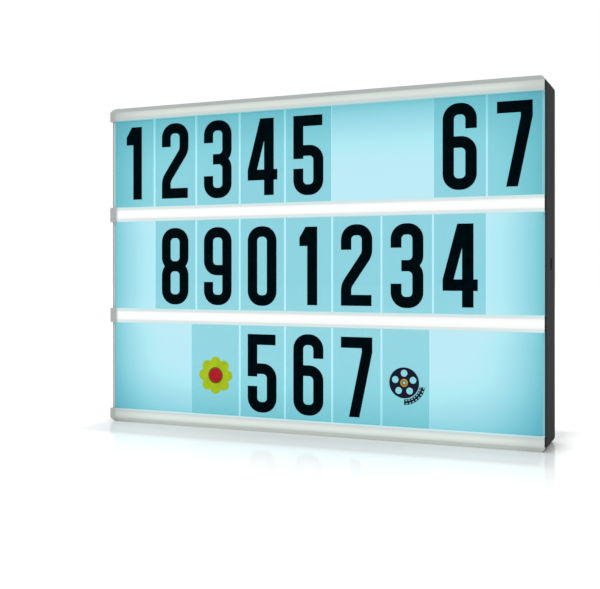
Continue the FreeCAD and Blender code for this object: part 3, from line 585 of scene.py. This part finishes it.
def lit_rail(name, low_mm, high_mm, by_height, by_width):
    """Satin acrylic that glows. Stops are (mm, code): a colour by height, and a share of it by width."""
    material, tree, shader, place = new_finish(
        name, Base_Color=linear("#A6ADAA"), IOR=1.49, Emission_Strength=1.0
    )
    axes = add(tree, "SeparateXYZ", {0: place})
    light = []
    for axis, start, end, stops in (
        ("Z", low_mm, high_mm, by_height),
        ("X", -HALF_LENGTH, HALF_LENGTH, by_width),
    ):
        share = add(tree, "MapRange", {"Value": axes.outputs[axis], 1: start * MM, 2: end * MM})
        scaled = [((mm - start) / (end - start), code) for mm, code in stops]
        light.append(add(tree, "ValToRGB", {0: share.outputs[0]}, scaled).outputs[0])
    both = {0: 1.0, 6: light[0], 7: light[1]}
    glow = add(tree, "Mix", both, data_type="RGBA", blend_type="MULTIPLY")
    drag = add(tree, "TexNoise", {"Vector": place, "Scale": 1 / (3.0 * MM), "Detail": 3.0})
    satin = add(tree, "MapRange", {"Value": drag.outputs[0], **NOISE_RANGE, 3: 0.3, 4: 0.42})
    across = add(tree, "Math", {0: axes.outputs["X"]}, operation="ABSOLUTE")
    skin = {0: across.outputs[0], 1: (HALF_LENGTH - END_SKIN) * MM}
    end_face = add(tree, "Math", skin, operation="GREATER_THAN")
    dark_ends = {0: end_face.outputs[0], 6: glow.outputs[2], 7: (0, 0, 0, 1)}
    dimmed = add(tree, "Mix", dark_ends, data_type="RGBA")
    feed(tree, shader, {"Emission Color": dimmed.outputs[2], "Roughness": satin.outputs[0]})
    spray_charcoal(tree, shader, end_face.outputs[0])
    return material


print("rails", 2 * HALF_LENGTH, "mm long")

# %% The rails' colours
HALF_RAIL = 5.1  # half of a middle rail's height, mm
outer_width = [
    (-146.5, "#000000"),
    (-145.0, "#A0A0A0"),
    (-140.0, "#C4C4C4"),
    (-130.0, "#E1E1E1"),
    (-118.0, "#F6F6F6"),
    (-100.0, "#FFFFFF"),
    (110.0, "#FFFFFF"),
    (130.0, "#F2F2F2"),
    (140.0, "#D6D6D6"),
    (149.0, "#CBCBCB"),
]
middle_width = [(-144.8, "#000000"), (-143.6, "#FFFFFF")]
top_height = [
    (210.6, "#1E7C86"),
    (211.3, "#648A90"),
    (212.4, "#78827F"),
    (214.0, "#989994"),
    (215.6, "#90958F"),
    (216.8, "#79807A"),
    (217.2, "#000000"),
]
bottom_height = [
    (2.8, "#737873"),
    (3.0, "#7C827C"),
    (4.0, "#959A95"),
    (5.0, "#A4A9A3"),
    (6.2, "#A4A7A2"),
    (7.2, "#9A9B97"),
    (8.0, "#868C8C"),
    (8.8, "#8199A0"),
    (9.3, "#84AAB2"),
]
half_band = [  # mm above a middle rail's own middle
    (0.0, "#CCC8CA"),
    (2.3, "#C6C2C3"),
    (2.6, "#BDB9B9"),
    (3.0, "#AAACAC"),
    (3.5, "#99A2A3"),
    (4.2, "#8DA3A6"),
    (4.9, "#6FA2AA"),
]
lower_lip = [(4.9, "#88A8AF"), (4.2, "#97AAAC")]  # mm below it; the band itself is even
paint(lit_rail("satin acrylic, top", 210.0, 220.0, top_height, outer_width), "top_rail")
paint(lit_rail("satin acrylic, bottom", 0.0, 10.0, bottom_height, outer_width), "bottom_rail")
for name in ("upper_middle_rail", "lower_middle_rail"):
    centre = middle_height(name) / MM
    below = [(centre - d, code) for d, code in lower_lip + half_band[-3:0:-1]]
    above = [(centre + d, code) for d, code in half_band]
    title = "satin acrylic, " + name.replace("_rail", "").replace("_", " ")
    stops = below + above
    paint(lit_rail(title, centre - HALF_RAIL, centre + HALF_RAIL, stops, middle_width), name)

# %% [markdown]
# ## The film cards
# Each card is clear polyester film, 0.4 mm thick, with a faint blue cast that takes some red out of the
# panel's light. It is smooth, with light handling scuffs that only show in its reflections. Glass and film
# could be faked with plain transparency, but a transmitting shader also bends and reflects light.
# A sheet like this carries the panel's light inside itself. Its faces scatter a little of that light, and
# it leaves mostly by the cut edges, so the narrow faces on its left and right, found by their normals,
# glow most. That gives a card its bright outline.

# %% Film
film, tree, shader, place = new_finish(
    "clear polyester film",
    Base_Color=linear("#ADCDD1"),
    IOR=1.45,
    Transmission_Weight=1.0,
    Emission_Strength=1.0,
)
scuff = add(tree, "TexNoise", {"Vector": place, "Scale": 1 / (6.0 * MM), "Detail": 5.0})
worn = add(tree, "MapRange", {"Value": scuff.outputs[0], 1: 0.45, 2: 0.75, 3: 0.02, 4: 0.06})
facing = add(tree, "SeparateXYZ", {0: add(tree, "TexCoord").outputs["Normal"]})
sideways = add(tree, "Math", {0: facing.outputs["X"]}, operation="ABSOLUTE")
cut_edge = add(tree, "Math", {0: sideways.outputs[0], 1: 0.5}, operation="GREATER_THAN")
colours = {6: linear("#264E51"), 7: linear("#C6E6EC")}  # of the broad faces, and of the cut edges
light = add(tree, "Mix", {0: cut_edge.outputs[0], **colours}, data_type="RGBA")
feed(tree, shader, {"Roughness": worn.outputs[0], "Emission Color": light.outputs[2]})
cards = sorted(name for name in nodes if "_card_" in name)
paint(film, *cards)

# %% [markdown]
# ## Printed characters
# The characters are screen-printed in dense black ink, 50 mm tall, in a narrow upright style with strokes of
# even width. They could be typed as text, but a font's shapes belong to its maker, and drawing them shows
# how such figures are built. Each one is drawn here as with a broad pen. The pen is an edge as wide as
# the stroke. Extruding it gives a straight run and spinning it gives a round corner, so a figure is a
# few pulls and turns. Where strokes meet, their corners fall on each other and are merged.


# %% A broad pen
PEN = 7.0  # width of a stroke, mm
HALF_WIDTH = 10.5  # half of a figure's width, mm
FLAT_TOP = 50.7  # height of a figure with a flat top, mm
MIDDLE = FLAT_TOP / 2
TOP, BOTTOM = 51.6, -0.9  # round figures run a little over the flat ones at both ends
BEND = 6.2  # radius of a round corner at the middle of the stroke, mm
REACH = BEND + PEN / 2  # its outer radius
ARC_STEPS = 10  # in a quarter turn


def pen_down(bm, first, second):
    """The pen's edge, between two points given as (across, up) in mm."""
    return bm.edges.new([bm.verts.new((x, 0.0, z)) for x, z in (first, second)])


def pull(bm, edge, across, up):
    """Draws a straight run and returns the pen's edge at its end."""
    made = bmesh.ops.extrude_edge_only(bm, edges=[edge])["geom"]
    ends = [part for part in made if isinstance(part, bmesh.types.BMVert)]
    bmesh.ops.translate(bm, verts=ends, vec=(across, 0.0, up))
    return next(
        part
        for part in made
        if isinstance(part, bmesh.types.BMEdge) and all(v in ends for v in part.verts)
    )


def turn(bm, edge, centre, degrees):
    """Swings the pen's edge round a centre, clockwise as the card is read, and returns its end."""
    made = bmesh.ops.spin(
        bm,
        geom=[edge, *edge.verts],
        cent=(centre[0], 0.0, centre[1]),
        axis=(0.0, 1.0, 0.0),
        angle=math.radians(degrees),
        steps=max(2, round(abs(degrees) / 90 * ARC_STEPS)),
        use_duplicate=False,
    )["geom_last"]
    return next(part for part in made if isinstance(part, bmesh.types.BMEdge))


def edge_at(bm, across, up):
    """The edge whose middle is nearest to a point."""
    point = Vector((across, 0.0, up))
    return min(bm.edges, key=lambda e: ((e.verts[0].co + e.verts[1].co) / 2 - point).length)


print("pen", PEN, "mm wide")

# %% [markdown]
# ## The ten figures
# Every figure is a short list of pulls and turns, in mm from the middle of its base line. The ones with
# straight strokes come first. In a round one the pen goes on round the corners, and 9 is 6 turned half
# round. The figures 3 and 8 are the same above and below, so only their upper halves are drawn, cut
# level and mirrored.

# %% Figures with straight strokes
left, right = -HALF_WIDTH, HALF_WIDTH


def one(bm):
    stem = pen_down(bm, (-0.75, 0), (6.25, 0))
    for rise in (38.2, 5.4, 7.1):
        stem = pull(bm, stem, 0, rise)
    pull(bm, edge_at(bm, -0.75, 40.9), -5.5, 0)
    slope = pull(bm, edge_at(bm, -3.5, 43.6), 0, 7.1)
    bmesh.ops.translate(bm, verts=[min(slope.verts, key=lambda v: v.co.x)], vec=(4.3, 0, 0))


def four(bm):
    bar, bend = 10.0, 36.0  # heights of the bar's lower side and of the slope's bend
    stem = pen_down(bm, (1.5, 0), (8.5, 0))
    for rise in (bar, PEN, bend - bar - PEN, FLAT_TOP - bend):
        stem = pull(bm, stem, 0, rise)
    foot = pull(bm, edge_at(bm, 1.5, bar + PEN / 2), -5.1, 0)
    pull(bm, foot, -6.9, 0)
    pull(bm, edge_at(bm, 8.5, bar + PEN / 2), 2.6, 0)
    slope = pull(bm, edge_at(bm, -7.05, bar + PEN), 5.1, bend - bar - PEN)
    slope = pull(bm, slope, 0, FLAT_TOP - bend)
    bmesh.ops.translate(bm, verts=[min(slope.verts, key=lambda v: v.co.x)], vec=(3.95, 0, 0))


def seven(bm):
    knee = 2.5  # how far below the bar the stroke begins to lean
    edge = pull(bm, pen_down(bm, (right - PEN, FLAT_TOP), (right, FLAT_TOP)), 0, -PEN)
    edge = pull(bm, edge, 0, -knee)
    pull(bm, edge, -8.6, PEN + knee - FLAT_TOP)
    pull(bm, edge_at(bm, right - PEN, FLAT_TOP - PEN / 2), -14.0, 0)


figures = {"1": one, "4": four, "7": seven}
print("figures", *figures)

# %% Figures with round corners
corner_x = HALF_WIDTH - REACH  # centres of the round corners
corner_high = TOP - REACH
corner_low = BOTTOM + REACH
straight = 2 * corner_x


def over_the_top(bm, edge):
    """From the left stroke's top, round both upper corners to the right stroke's top."""
    edge = turn(bm, edge, (-corner_x, corner_high), 90)
    edge = pull(bm, edge, straight, 0)
    return turn(bm, edge, (corner_x, corner_high), 90)


def nought(bm):
    edge = pen_down(bm, (left, corner_low), (left + PEN, corner_low))
    edge = pull(bm, edge, 0, corner_high - corner_low)
    edge = pull(bm, over_the_top(bm, edge), 0, corner_low - corner_high)
    edge = turn(bm, edge, (corner_x, corner_low), 90)
    edge = pull(bm, edge, -straight, 0)
    turn(bm, edge, (-corner_x, corner_low), 90)


def two(bm):
    hook, lean, bend = 35.5, 35, 9.0  # height of the hook's end; degrees and radius of the slope
    edge = pull(bm, pen_down(bm, (left, hook), (left + PEN, hook)), 0, corner_high - hook)
    edge = pull(bm, over_the_top(bm, edge), 0, hook - corner_high)
    middle = HALF_WIDTH - PEN / 2
    edge = turn(bm, edge, (middle - bend, hook), lean)
    side = 2 * (middle - bend * (1 - math.cos(math.radians(lean))))
    drop = side / math.tan(math.radians(lean))
    edge = pull(bm, edge, -side, -drop)
    centre_up = hook - 2 * bend * math.sin(math.radians(lean)) - drop
    edge = turn(bm, edge, (bend - middle, centre_up), -lean)
    edge = pull(bm, edge, 0, PEN - centre_up)
    pull(bm, edge, 0, -PEN)
    pull(bm, edge_at(bm, left + PEN, PEN / 2), 13.5, 0)


def five(bm):
    neck = 12.2  # length of the stroke between the bar and the bowl
    stem = pen_down(bm, (left, FLAT_TOP), (left + PEN, FLAT_TOP))
    for fall in (PEN, neck, PEN, 1.8):
        stem = pull(bm, stem, 0, -fall)
    pull(bm, edge_at(bm, left + PEN, FLAT_TOP - PEN / 2), 13.3, 0)
    bowl_top = FLAT_TOP - PEN - neck
    edge = pull(bm, edge_at(bm, left + PEN, bowl_top - PEN / 2), corner_x - left - PEN, 0)
    edge = turn(bm, edge, (corner_x, bowl_top - REACH), 90)
    edge = pull(bm, edge, 0, corner_low - bowl_top + REACH)
    edge = turn(bm, edge, (corner_x, corner_low), 90)
    edge = pull(bm, edge, -straight, 0)
    edge = turn(bm, edge, (-corner_x, corner_low), 90)
    pull(bm, edge, 0, 7.6)


def six(bm):
    bowl_top, hook = 31.55, 36.0  # heights
    foot = pen_down(bm, (left, corner_low), (left + PEN, corner_low))
    edge = foot
    for height in (bowl_top - PEN, bowl_top, corner_high):
        edge = pull(bm, edge, 0, height - edge.verts[0].co.z)
    edge = over_the_top(bm, edge)
    pull(bm, edge, 0, hook - corner_high)
    edge = turn(bm, foot, (-corner_x, corner_low), -90)
    edge = pull(bm, edge, straight, 0)
    edge = turn(bm, edge, (corner_x, corner_low), -90)
    edge = pull(bm, edge, 0, bowl_top - REACH - corner_low)
    edge = turn(bm, edge, (corner_x, bowl_top - REACH), -90)
    pull(bm, edge, left + PEN - corner_x, 0)


def nine(bm):
    six(bm)
    spin = Matrix.Rotation(math.pi, 4, "Y")
    middle = Matrix.Translation((0, 0, -MIDDLE))
    bmesh.ops.transform(bm, matrix=spin, space=middle, verts=bm.verts)


figures |= {"0": nought, "2": two, "5": five, "6": six, "9": nine}
print("figures", *figures)

# %% Figures that are the same above and below
waist = MIDDLE + BEND  # height of the round corners' centres next to the middle


def mirror_up(bm):
    """Cuts away what is below the middle, and mirrors the upper half there."""
    centre = Vector((0.0, 0.0, MIDDLE))
    everything = bm.verts[:] + bm.edges[:] + bm.faces[:]
    bmesh.ops.bisect_plane(
        bm, geom=everything, plane_co=centre, plane_no=(0, 0, 1), clear_inner=True, dist=1e-5
    )
    everything = bm.verts[:] + bm.edges[:] + bm.faces[:]
    plane = Matrix.Translation(-centre)
    bmesh.ops.mirror(bm, geom=everything, matrix=plane, merge_dist=1e-3, axis="Z")


def three(bm):
    hook = 36.5
    edge = pull(bm, pen_down(bm, (left, hook), (left + PEN, hook)), 0, corner_high - hook)
    edge = pull(bm, over_the_top(bm, edge), 0, waist - corner_high)
    edge = turn(bm, edge, (corner_x, waist), 90)
    pull(bm, edge, -4.4, 0)
    mirror_up(bm)


def eight(bm):
    edge = pull(bm, pen_down(bm, (left, waist), (left + PEN, waist)), 0, corner_high - waist)
    edge = pull(bm, over_the_top(bm, edge), 0, waist - corner_high)
    edge = turn(bm, edge, (corner_x, waist), 90)
    edge = pull(bm, edge, -straight, 0)
    turn(bm, edge, (-corner_x, waist), 90)
    bmesh.ops.remove_doubles(bm, verts=bm.verts, dist=1e-3)
    mirror_up(bm)


figures |= {"3": three, "8": eight}
print(len(figures), "figures")

# %% [markdown]
# ## From a flat figure to a print
# Ink has thickness: a screen print stands less than a tenth of a millimetre proud of its film. Each flat
# figure gets such a thickness, its turned-round faces are put right, and it is checked for open edges,
# because a printed shape with a hole in its skin would be a fault in the mesh. It then goes to its card's
# front face. It starts a hair inside the film, so no two faces lie in the same plane.

# %% Print the figures
INK = 0.08  # thickness of a print, mm
SUNK = 0.02  # how far of it lies inside the film


def as_print(name, bm, ink_mm=INK):
    """Thickens a flat shape drawn in mm, and makes it an object in metres, with its back at Y = 0."""
    bmesh.ops.remove_doubles(bm, verts=bm.verts, dist=1e-3)
    bmesh.ops.recalc_face_normals(bm, faces=bm.faces)
    bmesh.ops.solidify(bm, geom=bm.faces, thickness=ink_mm)
    bmesh.ops.recalc_face_normals(bm, faces=bm.faces)
    front = min(v.co.y for v in bm.verts)
    bmesh.ops.translate(bm, verts=bm.verts, vec=(0, -ink_mm - front, 0))
    bmesh.ops.scale(bm, vec=(MM, MM, MM), verts=bm.verts)
    open_edges = sum(not e.is_manifold for e in bm.edges)
    if open_edges:
        print("open edges on", name, open_edges)
    return from_bmesh(name, bm)


def onto_card(piece, card, across, up, material):
    """Puts a print on a card's front face, at a place in mm from the card's lower middle, in an ink."""
    low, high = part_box(card)
    spot = ((low.x + high.x) / 2 + across * MM, low.y + SUNK * MM, low.z + up * MM)
    piece.data.transform(Matrix.Translation(spot))
    piece.data.materials.append(material)
    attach(piece, body_of[card])


def ink(name, dark, pale, shine=0.15):
    """Screen ink: an even colour with the slight clouding and matt skin that a mesh leaves."""
    material, tree, shader, place = new_finish(name, IOR=1.5, Specular_IOR_Level=shine)
    cloud = add(tree, "TexNoise", {"Vector": place, "Scale": 1 / (5.0 * MM), "Detail": 2.0})
    colour = add(tree, "ValToRGB", {0: cloud.outputs[0]}, [(0.35, dark), (0.65, pale)])
    marks = add(tree, "TexNoise", {"Vector": place, "Scale": 1 / (0.8 * MM), "Detail": 2.0})
    matt = add(tree, "MapRange", {"Value": marks.outputs[0], **NOISE_RANGE, 3: 0.6, 4: 0.75})
    feed(tree, shader, {"Base Color": colour.outputs[0], "Roughness": matt.outputs[0]})
    return material


black_ink = ink("matt black screen ink", "#000A0E", "#020E12", shine=0.0)
readings = {
    "upper": {1: "1", 2: "2", 3: "3", 4: "4", 5: "5", 8: "6", 9: "7"},
    "middle": {2: "8", 3: "9", 4: "0", 5: "1", 6: "2", 7: "3", 8: "4"},
    "lower": {4: "5", 5: "6", 6: "7"},
}
base_lines = {"upper": 7.6, "middle": 6.1, "lower": 6.2}  # above a card's lower edge, mm
for row, characters in readings.items():
    for column, character in characters.items():
        flat = bmesh.new()
        figures[character](flat)
        card = f"{row}_card_{column}"
        figure = as_print(f"{card}_figure_{character}", flat)
        onto_card(figure, card, 0.0, base_lines[row], black_ink)
print(sum(len(c) for c in readings.values()), "printed figures")

# %% [markdown]
# ## Two printed pictures
# Two cards carry a small picture instead of a figure: a flower and a film reel. The flower's outline is a
# circle whose points are moved out to where eight overlapping petals would reach. The reel is a circle
# with smaller circles inside it, filled so that the inner ones stay open, and its loose end of film is
# a broad pen's stroke with the sprocket holes left out. Each colour is one pass of ink, and a
# pass over another stands a little higher.

# %% Flower card
PETALS, PETAL_STEPS = 8, 16
PETAL_CENTRE, PETAL_RADIUS = 8.7, 3.9  # from the flower's middle, and a petal's own, mm
EYE, EYE_RING = 4.7, 5.5  # outer radii of the red middle and of the ring round it, mm
SECOND_PASS, THIRD_PASS = 0.12, 0.14  # height of a later pass, the ones under it included, mm


def petal_reach(angle):
    """How far the petals reach from the middle, in mm, in a direction."""
    sector = math.pi / PETALS
    off = (angle + sector) % (2 * sector) - sector
    beside = PETAL_CENTRE * math.sin(off)
    return PETAL_CENTRE * math.cos(off) + math.sqrt(PETAL_RADIUS**2 - beside**2)


def disc(radius, segments=48, shape=None):
    """A flat disc facing forwards, or one whose points a shape moves in or out."""
    bm = bmesh.new()
    bmesh.ops.create_circle(bm, cap_ends=True, radius=radius, segments=segments, matrix=upright)
    for v in bm.verts if shape else ():
        v.co *= shape(math.atan2(v.co.z, v.co.x)) / radius
    return bm


def ring(inside, outside, segments=48):
    """A flat ring, an edge spun all the way round."""
    bm = bmesh.new()
    edge = pen_down(bm, (inside, 0.0), (outside, 0.0))
    geom = [edge, *edge.verts]
    bmesh.ops.spin(
        bm, geom=geom, axis=(0, 1, 0), angle=2 * math.pi, steps=segments, use_merge=True
    )
    return bm


def print_passes(card, place, passes):
    """Prints a picture on a card, one pass of ink after another."""
    for name, flat, ink_mm, material in passes:
        onto_card(as_print(name, flat, ink_mm), card, *place, material)
    print(len(passes), "passes of ink on", card)


green = ink("yellow-green screen ink", "#A2BC10", "#AEC61A")
olive = ink("dark olive screen ink", "#4C5A0A", "#55630F")
red = ink("red screen ink", "#AE0C20", "#BC1226")
flower_passes = [
    ("flower_petals", disc(1.0, PETALS * PETAL_STEPS, petal_reach), INK, green),
    ("flower_ring", ring(EYE, EYE_RING), SECOND_PASS, olive),
    ("flower_centre", disc(EYE), THIRD_PASS, red),
]
print_passes("lower_card_3", (0.6, 28.4), flower_passes)

# %% Film reel card
REEL, HUB_HOLE, HUB = 9.6, 0.9, (1.3, 2.5)  # radii, mm
WINDOWS, WINDOW_RING, WINDOW = 5, 6.0, 2.15  # how many, and the radii of their ring and of each
FILM_EDGES = (10.2, 10.6, 11.3, 12.5, 13.2, 13.6)  # across the loose film: margin, holes, picture
FILM_ARC, FILM_STEPS = 80, 16  # degrees, from straight below, and how many pulls of the pen
reel_bm = bmesh.new()
bmesh.ops.create_circle(reel_bm, radius=REEL, segments=64, matrix=upright)
bmesh.ops.create_circle(reel_bm, radius=HUB_HOLE, segments=16, matrix=upright)
for i in range(WINDOWS):
    angle = math.pi / 2 + i * 2 * math.pi / WINDOWS
    spot = Matrix.Translation((WINDOW_RING * math.cos(angle), 0, WINDOW_RING * math.sin(angle)))
    bmesh.ops.create_circle(reel_bm, radius=WINDOW, segments=24, matrix=spot @ upright)
bmesh.ops.triangle_fill(reel_bm, edges=reel_bm.edges, use_beauty=True)

tail_bm = bmesh.new()
points = [tail_bm.verts.new((0.0, 0.0, -reach)) for reach in FILM_EDGES]
section = [tail_bm.edges.new(pair) for pair in zip(points, points[1:])]
bmesh.ops.spin(
    tail_bm, geom=section + points, axis=(0, 1, 0), angle=math.radians(-FILM_ARC), steps=FILM_STEPS
)
holes = []
for face in tail_bm.faces:
    centre = face.calc_center_median()
    step = int((math.degrees(math.atan2(centre.z, centre.x)) + 90) / FILM_ARC * FILM_STEPS)
    strip = sum(centre.length > reach for reach in FILM_EDGES) - 1
    if step % 2 == 1 and strip in (1, 3):
        holes.append(face)
bmesh.ops.delete(tail_bm, geom=holes, context="FACES")
print("film with", len(holes), "sprocket holes")

navy = ink("navy screen ink", "#05061C", "#080A26")
gold = ink("gold screen ink", "#B08A2C", "#C39B38")
reel_passes = [
    ("reel_disc", reel_bm, INK, navy),
    ("reel_film", tail_bm, INK, navy),
    ("reel_hub", ring(*HUB), SECOND_PASS, gold),
]
print_passes("lower_card_7", (-1.0, 29.4), reel_passes)

# %% [markdown]
# ## Studio light
# A large soft lamp up in front gives the faces their level, a weak one on the right and another behind
# keep the dark housing readable, and the world fills the rest. Together they light a surface to about
# the colour that it is written in. The backdrop has to be white, but turning the lamps up for that would
# wash out the object. So rays that come from the camera, or by way of gloss or film, see a white world,
# while the object is lit by a dimmer one.

# %% Lamps and world
FILL = 0.78  # the world's strength as a lamp


def soft_lamp(name, place, aim, width, watts):
    """A square soft lamp at a place, facing a point."""
    data = bpy.data.lights.new(name, "AREA")
    data.shape = "SQUARE"
    data.size = width
    data.energy = watts
    lamp = in_scene(name, data)
    lamp.location = place
    lamp.rotation_euler = (Vector(aim) - Vector(place)).to_track_quat("-Z", "Y").to_euler()


middle = (0.0, 0.0, 0.11)
soft_lamp("front_lamp", (-0.6, -1.4, 1.5), middle, 1.2, 9.0)
soft_lamp("side_lamp", (1.5, -0.9, 1.0), middle, 1.0, 1.5)
soft_lamp("back_lamp", (-0.7, 1.5, 1.3), middle, 1.2, 12.0)


def seen_directly(tree):
    """1 for rays that show the backdrop, from the camera or by way of gloss or film, and 0 for light."""
    path = add(tree, "LightPath").outputs
    seen = path["Is Camera Ray"]
    for kind in ("Is Glossy Ray", "Is Transmission Ray"):
        seen = add(tree, "Math", {0: seen, 1: path[kind]}, operation="MAXIMUM").outputs[0]
    return seen


world = bpy.data.worlds.new("studio")
bpy.context.scene.world = world
world.use_nodes = True
tree = world.node_tree
level = add(tree, "MapRange", {"Value": seen_directly(tree), 3: FILL, 4: 1.0})
sky = {"Color": linear("#FFFFFF"), "Strength": level.outputs[0]}
feed(tree, tree.nodes["Background"], sky)
bpy.context.scene.view_settings.view_transform = "Standard"
print("world fill", FILL)

# %% [markdown]
# ## The floor
# The box stands on a plain white, lightly polished table top. It keeps the box's soft contact shadow and a
# faint mirror image that fades forwards, as polish does when the mirror image of a thing is further
# from it. A light of its own, only for rays that see it directly, brings the surface up to white without
# lighting the box. It grows with the distance from a box round the footprint, so near the box the floor
# stays dim: a painted contact shadow that deepens the real one.

# %% Floor
FLOOR = 6.0  # from its middle to its sides, metres
PAINTED_SHADOW_REACH = 0.055  # the painted shadow reaches further forwards and back than sideways, metres
POLISH = 0.26  # the mirror image's strength right in front of the box
floor_bm = bmesh.new()
bmesh.ops.create_grid(floor_bm, x_segments=1, y_segments=1, size=FLOOR)
floor = from_bmesh("floor", floor_bm)
floor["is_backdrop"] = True

table_top, tree, shader, place = new_finish(
    "white polished table top",
    Base_Color=linear("#F2F3F3"),
    Roughness=0.6,
    Specular_IOR_Level=0.0,
    Emission_Color=linear("#FFFFFF"),
)
away = place
# The box round the footprint where the floor's own light is held back, which paints a shadow there.
painted_shadow_box = (cad_box[1].x, PAINTED_SHADOW_REACH, 1.0)
for operation, amount in (("ABSOLUTE", (0, 0, 0)), ("SUBTRACT", painted_shadow_box), ("MAXIMUM", (0, 0, 0))):
    away = add(tree, "VectorMath", {0: away, 1: amount}, operation=operation).outputs[0]
away = add(tree, "VectorMath", {0: away}, operation="LENGTH").outputs["Value"]
lift_stops = [  # metres away from the painted shadow's box; the low stops paint the contact shadow
    (0.0, "#262626"),
    (0.006, "#767676"),
    (0.014, "#9A9A9A"),
    (0.04, "#A6A6A6"),
    (0.15, "#AEAEAE"),
    (1.0, "#C0C0C0"),
]
lift = add(tree, "ValToRGB", {0: away}, lift_stops)
own_light = add(tree, "Math", {0: seen_directly(tree), 1: lift.outputs[0]}, operation="MULTIPLY")
feed(tree, shader, {"Emission Strength": own_light.outputs[0]})
axes = add(tree, "SeparateXYZ", {0: place})
polish = add(tree, "MapRange", {"Value": axes.outputs["Y"], 1: -0.24, 2: -0.03, 3: 0.0, 4: POLISH})
mirror = add(tree, "BsdfGlossy", {"Color": (1, 1, 1, 1), "Roughness": 0.06})
layers = {0: polish.outputs[0], 1: shader.outputs[0], 2: mirror.outputs[0]}
surface = add(tree, "MixShader", layers)
feed(tree, tree.nodes["Material Output"], {"Surface": surface.outputs[0]})
floor.data.materials.append(table_top)
print("floor laid")

# %% [markdown]
# ## The finished model's box is measured against the CAD model's box, and the largest difference between them is printed.
# The finished model has to stay inside the CAD model's box, so both boxes are written down to be compared.

# %% Compare the sizes
visual_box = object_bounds()
apart = [abs(a - b) for c, v in zip(cad_box, visual_box) for a, b in zip(c, v)]
print("largest difference, mm", max(apart) / MM)
